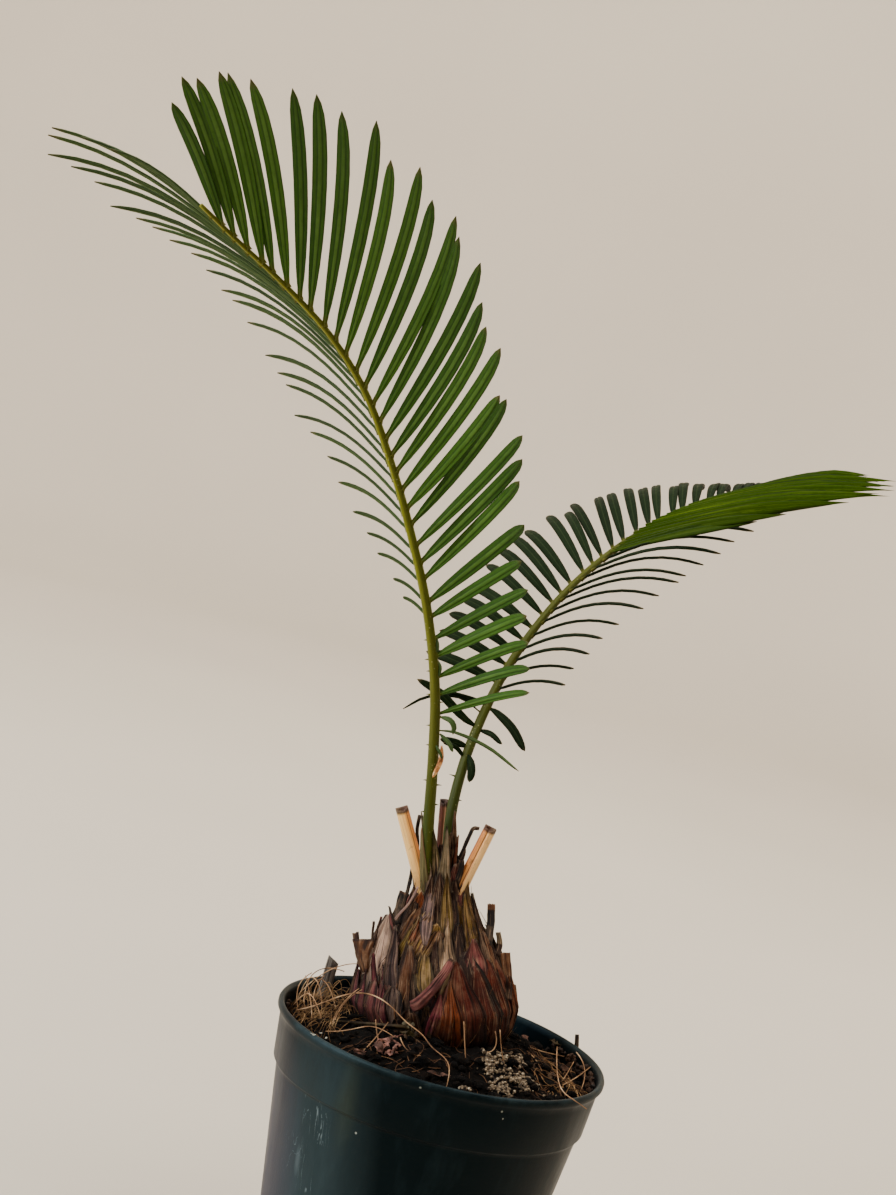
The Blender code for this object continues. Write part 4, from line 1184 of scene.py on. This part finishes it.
def makeSheaths():
    skin, blank = sheathMaterial(), rodBlank(sides=36, cuts=40)
    for name, spec in sheaths.items():
        route = routes[name]
        ahead = route.direction(1, 2.0)
        east = squareTo(ahead, trunkEast)
        bm = bmesh.new()
        layers = newLayers(bm, "across", "along")
        for v, angle, z in copyRod(bm, blank):
            # the outer skin goes up to the cut and the inner one comes back down
            t = min(1, 2 * z) if z <= 0.5 else 2 - 2 * z
            x, y = 2 * math.cos(angle), 2 * math.sin(angle)
            reach = 0.5 + 0.5 * math.cos(angle - math.radians(spec["faces"]))
            s = (spec["low"] + (spec["high"] - spec["low"]) * reach ** 2.2 + 0.8 * rough((x, y, 0), 0.8)) * t
            wide = spec["radius"] * (1.3 - 0.3 * min(1, s / 14)) + 0.25 * rough((x, y, s / 6), 1)
            wide -= spec["thin"] if z > 0.5 else 0
            mark(v, layers, across=angle / math.pi * 2, along=t)
            v.co = route.point(s) + wide * onRing(ahead, east, angle)
        makePiece(bm, name + "Sheath", skin, "dry_scale")


makeSheaths()

# cut stalks: pale and dark are painted light on one side and painted shade on the other, turn is where the pale side
# faces, fold is the groove's angle; the skin turns in past the cut and goes back down inside
cutStalks = dict(
    left=dict(foot=(-2.6, -6.0, 46), end=(-17.2, -1.2, 90.5), radius=2.65, turn=200, fold=-50,
              pale=(246, 196, 116), middle=(232, 164, 82), dark=(196, 116, 50)),
    right=dict(foot=(1.0, -7.8, 46), end=(18.2, -3.7, 85), radius=2.6, turn=-16, fold=-100,
               pale=(248, 200, 130), middle=(230, 160, 88), dark=(196, 104, 46)),
    back=dict(foot=(-1.6, 7.0, 44), end=(-0.6, 7.6, 93.5), radius=1.8, turn=-10, fold=-80,
              pale=(176, 128, 92), middle=(96, 46, 28), dark=(66, 28, 18)),
)


def stalkMaterial(name, pale, middle, dark):
    skin = Finish(name, 0.5, 0.35)
    around, along, flank, fold = skin.layers("across", "along", "flank", "fold")
    threads = skin.streaks(around, along, 0.0, 7.0, 1.2)
    stain = skin.speckle(skin.place(), 150, 5)
    # painted light and shade: the pale colour on the side that faces turn, the dark one opposite
    mixed = skin.add(flank, skin.times(skin.minus(threads, 0.5), 0.9))
    skin.colour = skin.ramp(mixed, (0.10, dark), (0.48, middle), (0.86, pale))
    skin.cover(dark, threads, (0.36, 0.6), (0.48, 0.0))
    skin.cover((140, 84, 44), stain, (0.56, 0.0), (0.72, 0.55))
    skin.cover((70, 40, 24), stain, (0.30, 0.5), (0.36, 0.0))
    skin.cover((96, 48, 22), fold, (0.4, 0.0), (0.9, 0.85))
    skin.cover((104, 46, 18), along, (0.0, 0.9), (0.38, 0.3), (0.62, 0.0))
    skin.cover((48, 26, 14), skin.add(along, skin.times(threads, 0.03)), (0.955, 0.0), (0.985, 0.92))
    return skin.finish(threads, 0.7, 0.0008)


def makeCutStalks():
    blank = rodBlank(sides=40, cuts=59)
    for name, spec in cutStalks.items():
        title = name.capitalize()
        skin = stalkMaterial("strawStalk" + title, spec["pale"], spec["middle"], spec["dark"])
        foot, end = onTrunk(*spec["foot"]), onTrunk(*spec["end"])
        route = Route([foot.lerp(end, k / 8) for k in range(9)])
        ahead = (end - foot).normalized()
        east = squareTo(ahead, trunkEast)
        bm = bmesh.new()
        layers = newLayers(bm, "across", "along", "flank", "fold")
        for v, angle, z in copyRod(bm, blank):
            t, hollow = z / 0.95, 1.0
            if t > 1.001:
                hollow, t = 0.62, 1 - (t - 1) * 0.9
            crease = math.exp(-(math.remainder(angle - math.radians(spec["fold"]), math.tau) / 0.16) ** 2)
            wide = spec["radius"] * (1 + 0.04 * math.sin(angle * 5 + 1) - 0.24 * crease) * (1.06 - 0.12 * t) * hollow
            ragged = (0.5 * spec["radius"] * math.sin(angle) - 0.4) * max(0, t - 0.9) / 0.1
            uneven = rough((2 * math.cos(angle), 2 * math.sin(angle), 0), 0.9, spec["radius"])
            ragged += 0.9 * uneven * max(0, t - 0.97) / 0.03
            mark(v, layers, across=angle / math.pi * 2, along=t if hollow == 1 else 1, fold=crease,
                 flank=0.5 + 0.5 * math.cos(angle - math.radians(spec["turn"])))
            v.co = route.point(t * route.length + ragged) + wide * onRing(ahead, east, angle)
        makePiece(bm, "cutStalk" + title, skin, "old_stalk", ["cut_stalk_" + name])


makeCutStalks()
print("trunk ready")

grit = dict(
    # clumps of beads: centre, spread, beads
    clumps=[((18.5, -28), (2.4, 5), 130), ((24.5, -38), (3.8, 3), 130), ((31.5, -27), (2.8, 4.6), 120),
            ((22, -17), (3.4, 3.4), 84), ((30, -14), (3, 3), 56), ((10.5, -45), (2.2, 3), 30),
            ((36, -22), (2.5, 4), 34), ((40, -26), (8, 8), 16), ((26, -27), (3, 4), 40)],
    bead=(0.3, 0.8), reach=58,
)


def makePerlite():
    rng = random.Random(21)
    bm = bmesh.new()
    for (cx, cy), (sx, sy), count in grit["clumps"]:
        for _ in range(count):
            x, y = rng.gauss(cx, sx * 0.6), rng.gauss(cy, sy * 0.6)
            if underTrunk(x, y) or math.hypot(x, y) > grit["reach"]:
                continue
            radius = rng.uniform(*grit["bead"])
            addLump(bm, radius, (x, y, soilHeight(x, y) + radius * 0.5 + rng.uniform(0, 0.9)),
                    lambda co: 1 + 0.28 * rough(co + Vector((x, y, 0)), 1.0))
    skin = speckledMaterial("perliteGrit", 0.85, 0.3, 700, 5, ((0.40, (34, 24, 16)), (0.54, (108, 90, 68)),
                                                               (0.70, (190, 174, 148))), 0.6, 0.0006)
    makePiece(bm, "perliteBeads", skin, "perlite", ["perlite_large", "perlite_small", "perlite_crumb"], merge=0)


makePerlite()

# long roots, point by point; a height of None lies on the soil
roots = dict(
    front=[(-57, -8, 112), (-50, -14, 117), (-43, -20, 125), (-34, -27, 131), (-27, -32, 131.5), (-21.4, -34, 129.3),
           (-16.1, -35, 125.8), (-10.6, -37, 124.4), (-7.7, -39, 123.2), (-4.5, -42, 120.6), (1.8, -46, 120),
           (4.2, -49, 116.4), (3.6, -52.6, None)],
    right=[(27.6, 12, None), (36.9, 16, 113), (44, 20, 113), (50, 22, 112.5)],
    loose=[
        [(-44, -24, None), (-37, -27, 114), (-31, -30, 119.5), (-25, -32, 121), (-18.6, -34, 119)],
        [(-28.5, -37.6, None), (-25, -33, 117), (-22.2, -29, 122.5)],
        [(-27, -28, 122), (-25, -32, 116), (-22.5, -35.5, None)],
        [(-16.6, -32, 119), (-13, -36, 114), (-7.8, -38, None)],
        [(5, -29, 130), (7, -32, 124), (8.6, -33, 118), (9.5, -33, None)],
        [(19.5, -20, 128), (22, -21, 120), (24, -22, None)],
        [(-57.7, 0, 116), (-53.6, 0, 125), (-45.6, -1, 132.5), (-38.8, -4, 134.5)],
        [(17.7, -22, 127.5), (20, -24, 124), (19.6, -25, 120.5), (16.5, -26, 120)],
        [(42.8, -12, 125), (44, -24, 117), (46.5, -40, 115.5), (49.5, -43, 116.5), (56, -44, 114)],
        [(52, 2, 117), (50.5, 0, 112), (49, -4, None)],
        [(54, 20, 116), (58, 12, 115), (59, 5, 112), (57, -2, None)],
        [(60, 12, 114), (56, 4, 111.5), (50, -8, None), (43, -20, None)],
        [(-58, 6, 110), (-57, 2, 122), (-54, -2, 127), (-49, -6, 121), (-47, -10, None)],
        [(-59, -2, 111), (-56, -8, 120), (-52, -12, 122), (-47, -17, 114), (-45, -20, None)],
        [(-55, -4, None), (-57, -2, 111), (-59, 0, 116), (-58.8, 2, 121.4), (-55, 4, 124.5)],
        [(-53, -4, None), (-55, -2, 112.5), (-56, 2, 117.7), (-55.6, 4, 122), (-53.5, 6, 126), (-48, 5, 128.5),
         (-43, 1, 129)],
        [(-48.9, -8, None), (-52.6, -4, 116), (-53.3, 0, 121), (-50, 3, 125)],
        [(-42, -22, None), (-43, -20, 117.6), (-40.4, -18, 123.7), (-35.9, -14, 128)],
        [(-41.8, -20, None), (-41.7, -16, 119), (-38.9, -12, 124), (-34, -9, 127)],
        [(-50, -14, None), (-52, -9, 117), (-55, -6, 122), (-57, -4, 125)],
        [(-56, 12, 110), (-54, 8, 121), (-50, 4, 125), (-45, -2, 120), (-42, -8, None)],
        [(28, 18, 112), (32, 8, 117), (37, 0, 116), (40, -8, None)],
    ],
)
# tangles of fine roots: their three shades, and centre, spread, strands, how high they arch and thickness of each
tangles = dict(
    rootTangle=(((46, 29, 15), (112, 80, 46), (184, 148, 104)), [
        ((-50, 2), (5, 13), 92, (1.5, 9.0), (0.08, 0.18)), ((-46, -14), (5, 7), 50, (1.5, 6.5), (0.08, 0.17)),
        ((53, -7), (4, 8), 40, (0.6, 3.0), (0.14, 0.28))]),
    brownTangle=(((34, 21, 12), (80, 52, 30), (128, 92, 58)), [
        ((10, -34), (16, 6), 22, (0.2, 1.2), (0.10, 0.2)), ((-16, -38), (14, 5), 34, (0.2, 1.6), (0.10, 0.2)),
        ((36, -16), (12, 12), 44, (0.2, 2.0), (0.10, 0.24)), ((30, 34), (14, 12), 30, (0.2, 1.4), (0.10, 0.22)),
        ((-20, 46), (20, 8), 40, (0.2, 1.6), (0.10, 0.22)), ((44, 10), (7, 14), 80, (0.3, 3.0), (0.12, 0.26))]),
)
tangleReach = 60  # where a strand may start; it turns back half a mm further out


def rootMaterial(name, dark, middle, pale):
    return speckledMaterial(name, 0.7, 0.2, 120, 4, ((0.34, dark), (0.52, middle), (0.68, pale)), 0.4, 0.0005)


def longRoot(path, thick):
    return [(x, y, soilHeight(x, y) + 0.5 if z is None else z) for x, y, z in path], thick, 0.18


def tangleStrands(rng, centre, spread, count, arch, size):
    strands = []
    for _ in range(count):
        x, y = rng.gauss(centre[0], spread[0]), rng.gauss(centre[1], spread[1])
        if underTrunk(x, y) or math.hypot(x, y) > tangleReach:
            continue
        heading, points = rng.uniform(0, math.tau), []
        reach, high = rng.uniform(1.2, 2.8), rng.uniform(*arch)
        for k in range(7):
            points.append((x, y, soilHeight(x, y) - 0.4 + high * math.sin(math.pi * k / 6) ** 0.8))
            heading += rng.gauss(0, 0.5)
            nextX, nextY = x + reach * math.cos(heading), y + reach * math.sin(heading)
            if math.hypot(nextX, nextY) > tangleReach + 0.5 or underTrunk(nextX, nextY):
                heading += math.pi * 0.7
                nextX, nextY = x + 0.6 * reach * math.cos(heading), y + 0.6 * reach * math.sin(heading)
            x, y = nextX, nextY
        thick = rng.uniform(*size)
        strands.append((points, thick, thick * 0.4))
    return strands


def makeRoots():
    skin = rootMaterial("rootFibre", (78, 52, 32), (150, 112, 78), (200, 168, 130))
    for name in ("front", "right"):
        strand = longRoot(roots[name], 0.26)
        strandPiece("root" + name.capitalize(), [strand], skin, "root_fibre", ["root_" + name], sides=2)
    strandPiece("looseRoots", [longRoot(path, 0.21) for path in roots["loose"]], skin, "root_fibre", sides=2)
    rng = random.Random(31)
    for name, (colours, rows) in tangles.items():
        strands = [strand for row in rows for strand in tangleStrands(rng, *row)]
        strandPiece(name, strands, rootMaterial(name, *colours), "root_fibre")


makeRoots()

# crumpled dry bits: centre, length and width, turn and lean in degrees, shade from pink over brown and olive to pale
shreds = [
    ((-20.5, -35.5, 115.0), (10, 7), 20, 48, 0.0), ((-17.6, -36, 114.8), (7, 5), 80, -46, 0.06),
    ((-17.0, -27, 117.0), (6, 2.6), 50, 60, 0.0), ((-23.4, -33, 113.4), (5, 2.6), -40, 30, 0.2),
    ((-14.6, -25.2, 122.6), (4.4, 3), 10, 60, 0.72), ((-12.2, -26.4, 122.0), (3.6, 3), 70, 40, 0.66),
    ((-15.6, -26.2, 120.2), (4, 2.6), -30, 70, 0.62), ((-12.4, -27.2, 119.6), (4.2, 2.8), 30, 60, 0.70),
    ((-10.6, -27.6, 120.6), (3.2, 2.4), 110, 50, 0.55), ((-14, -27, 118.4), (4, 2.6), 80, 30, 0.5),
    ((-11, -28.4, 117.6), (4, 2.6), 0, 50, 0.5), ((47, 40, 112.4), (6, 2), -45, 30, 0.62),
    ((-46, -39.4, 115.1), (1.3, 0.8), 30, 0, 1.0), ((-47.6, -43, 114.9), (0.9, 0.7), 0, 20, 0.95),
    ((-43.2, -43, 115.1), (0.8, 0.6), 60, 10, 0.9), ((-30, -42, 112.8), (4, 2), 10, 20, 0.3),
    ((2, -44, 113.2), (5, 2), -20, 10, 0.3), ((44, -8, 112.4), (5, 2.4), 60, 30, 0.5),
    ((50, 6, 112.6), (4, 2), 10, 40, 0.4), ((-38, 30, 113), (6, 3), 40, 10, 0.45), ((8, 44, 113), (7, 3), 0, 20, 0.5),
    ((34, 34, 112.6), (5, 3), 70, 20, 0.3),
]
rimStub = dict(points=[(55.6, 35.8, 112), (55.2, 36.5, 115), (54.4, 37.2, 118.4)], radius=1.0)


def shredMaterial():
    skin = Finish("dryShred", 0.75, 0.2)
    skin.colour = skin.ramp(skin.layers("tint")[0], (0.0, (150, 104, 90)), (0.4, (70, 45, 30)), (0.7, (72, 62, 36)),
                            (1.0, (196, 190, 172)))
    worn = skin.speckle(skin.place(), 330, 5)
    skin.cover((28, 17, 11), worn, (0.40, 0.85), (0.60, 0.0))
    return skin.finish(worn, 0.7, 0.0008)


def makeShreds():
    bm = bmesh.new()
    layers = newLayers(bm, "tint")
    for centre, (long, wide), turn, lean, shade in shreds:
        made = bmesh.ops.create_grid(bm, x_segments=10, y_segments=7, size=0.5)["verts"]
        placed = (Matrix.Translation(centre) @ Matrix.Rotation(math.radians(turn), 4, "Z")
                  @ Matrix.Rotation(math.radians(lean), 4, "X"))
        for v in made:
            x, y = v.co.x * long, v.co.y * wide * (1 - 2.6 * v.co.x ** 2)
            seed = Vector(centre) + Vector((x, y, 0))
            x, y = x + 0.9 * rough(seed, 1.1), y + 0.9 * rough(seed, 1.3, 3)
            mark(v, layers, tint=shade)
            v.co = placed @ Vector((x, y, 0.46 * wide * rough(seed, 1.7, 7) + 0.22 * wide * rough(seed, 0.8, 5)))
    bmesh.ops.solidify(bm, geom=bm.faces[:], thickness=0.3)
    makePiece(bm, "dryShreds", shredMaterial(), "potting_soil", merge=0)


def makeCrumbs():
    rng = random.Random(57)
    bm = bmesh.new()
    count, reach = soil["crumbs"]
    for _ in range(count):
        angle, z = math.radians(rng.choice(soil["crumbAngles"]) + rng.gauss(0, 15)), rng.uniform(106, 112.6)
        place, size = Vector((reach * math.cos(angle), reach * math.sin(angle), z)), rng.uniform(0.4, 1.3)
        addLump(bm, size, place, lambda co: 1 + 0.5 * rough(co + place, size))
    skin = rootMaterial("brownCrumb", (14, 9, 6), (44, 28, 18), (88, 60, 40))
    makePiece(bm, "wallCrumbs", skin, "potting_soil", merge=0, smooth=False)


def makeRimStub():
    skin = rootMaterial("darkStub", (20, 14, 10), (52, 38, 26), (96, 76, 56))
    thick = rimStub["radius"]
    strandPiece("rimStub", [(rimStub["points"], thick, thick * 0.8)], skin, "potting_soil", sides=3)


makeShreds()
makeCrumbs()
makeRimStub()

stick = dict(foot=(-49.6, 18.4, 98), end=(-48.4, 20.0, 127.6), radius=(2.5, 1.1))


def stickMaterial():
    skin = Finish("greyStick", 0.8, 0.2)
    threads = skin.streaks(*skin.layers("across", "along"), 0.0, 7.0, 2.0)
    skin.colour = skin.ramp(threads, (0.34, (38, 32, 28)), (0.5, (92, 84, 76)), (0.68, (150, 142, 130)))
    return skin.finish(threads, 0.8, 0.001)


def makeStick():
    bm = bmesh.new()
    layers = newLayers(bm, "across", "along")
    foot, end = Vector(stick["foot"]), Vector(stick["end"])
    ahead = (end - foot).normalized()
    east = Vector((1, 0.25, 0)).cross(ahead).cross(ahead).normalized()
    for v, angle, t in copyRod(bm, rodBlank(sides=16, cuts=14)):
        across, out = (size * (1.08 - 0.16 * t) * (1 + 0.14 * math.sin(angle * 5)) for size in stick["radius"])
        mark(v, layers, across=angle / math.pi * 2, along=t)
        ragged = 1.2 * math.cos(angle) * max(0, t - 0.8) / 0.2 if t < 1.01 else 0
        v.co = (foot.lerp(end, t) + ahead * ragged + across * math.cos(angle) * east
                + out * math.sin(angle) * ahead.cross(east))
    makePiece(bm, "dryStick", stickMaterial(), "dry_stick", ["dry_stick"])


makeStick()
print("loose things ready")
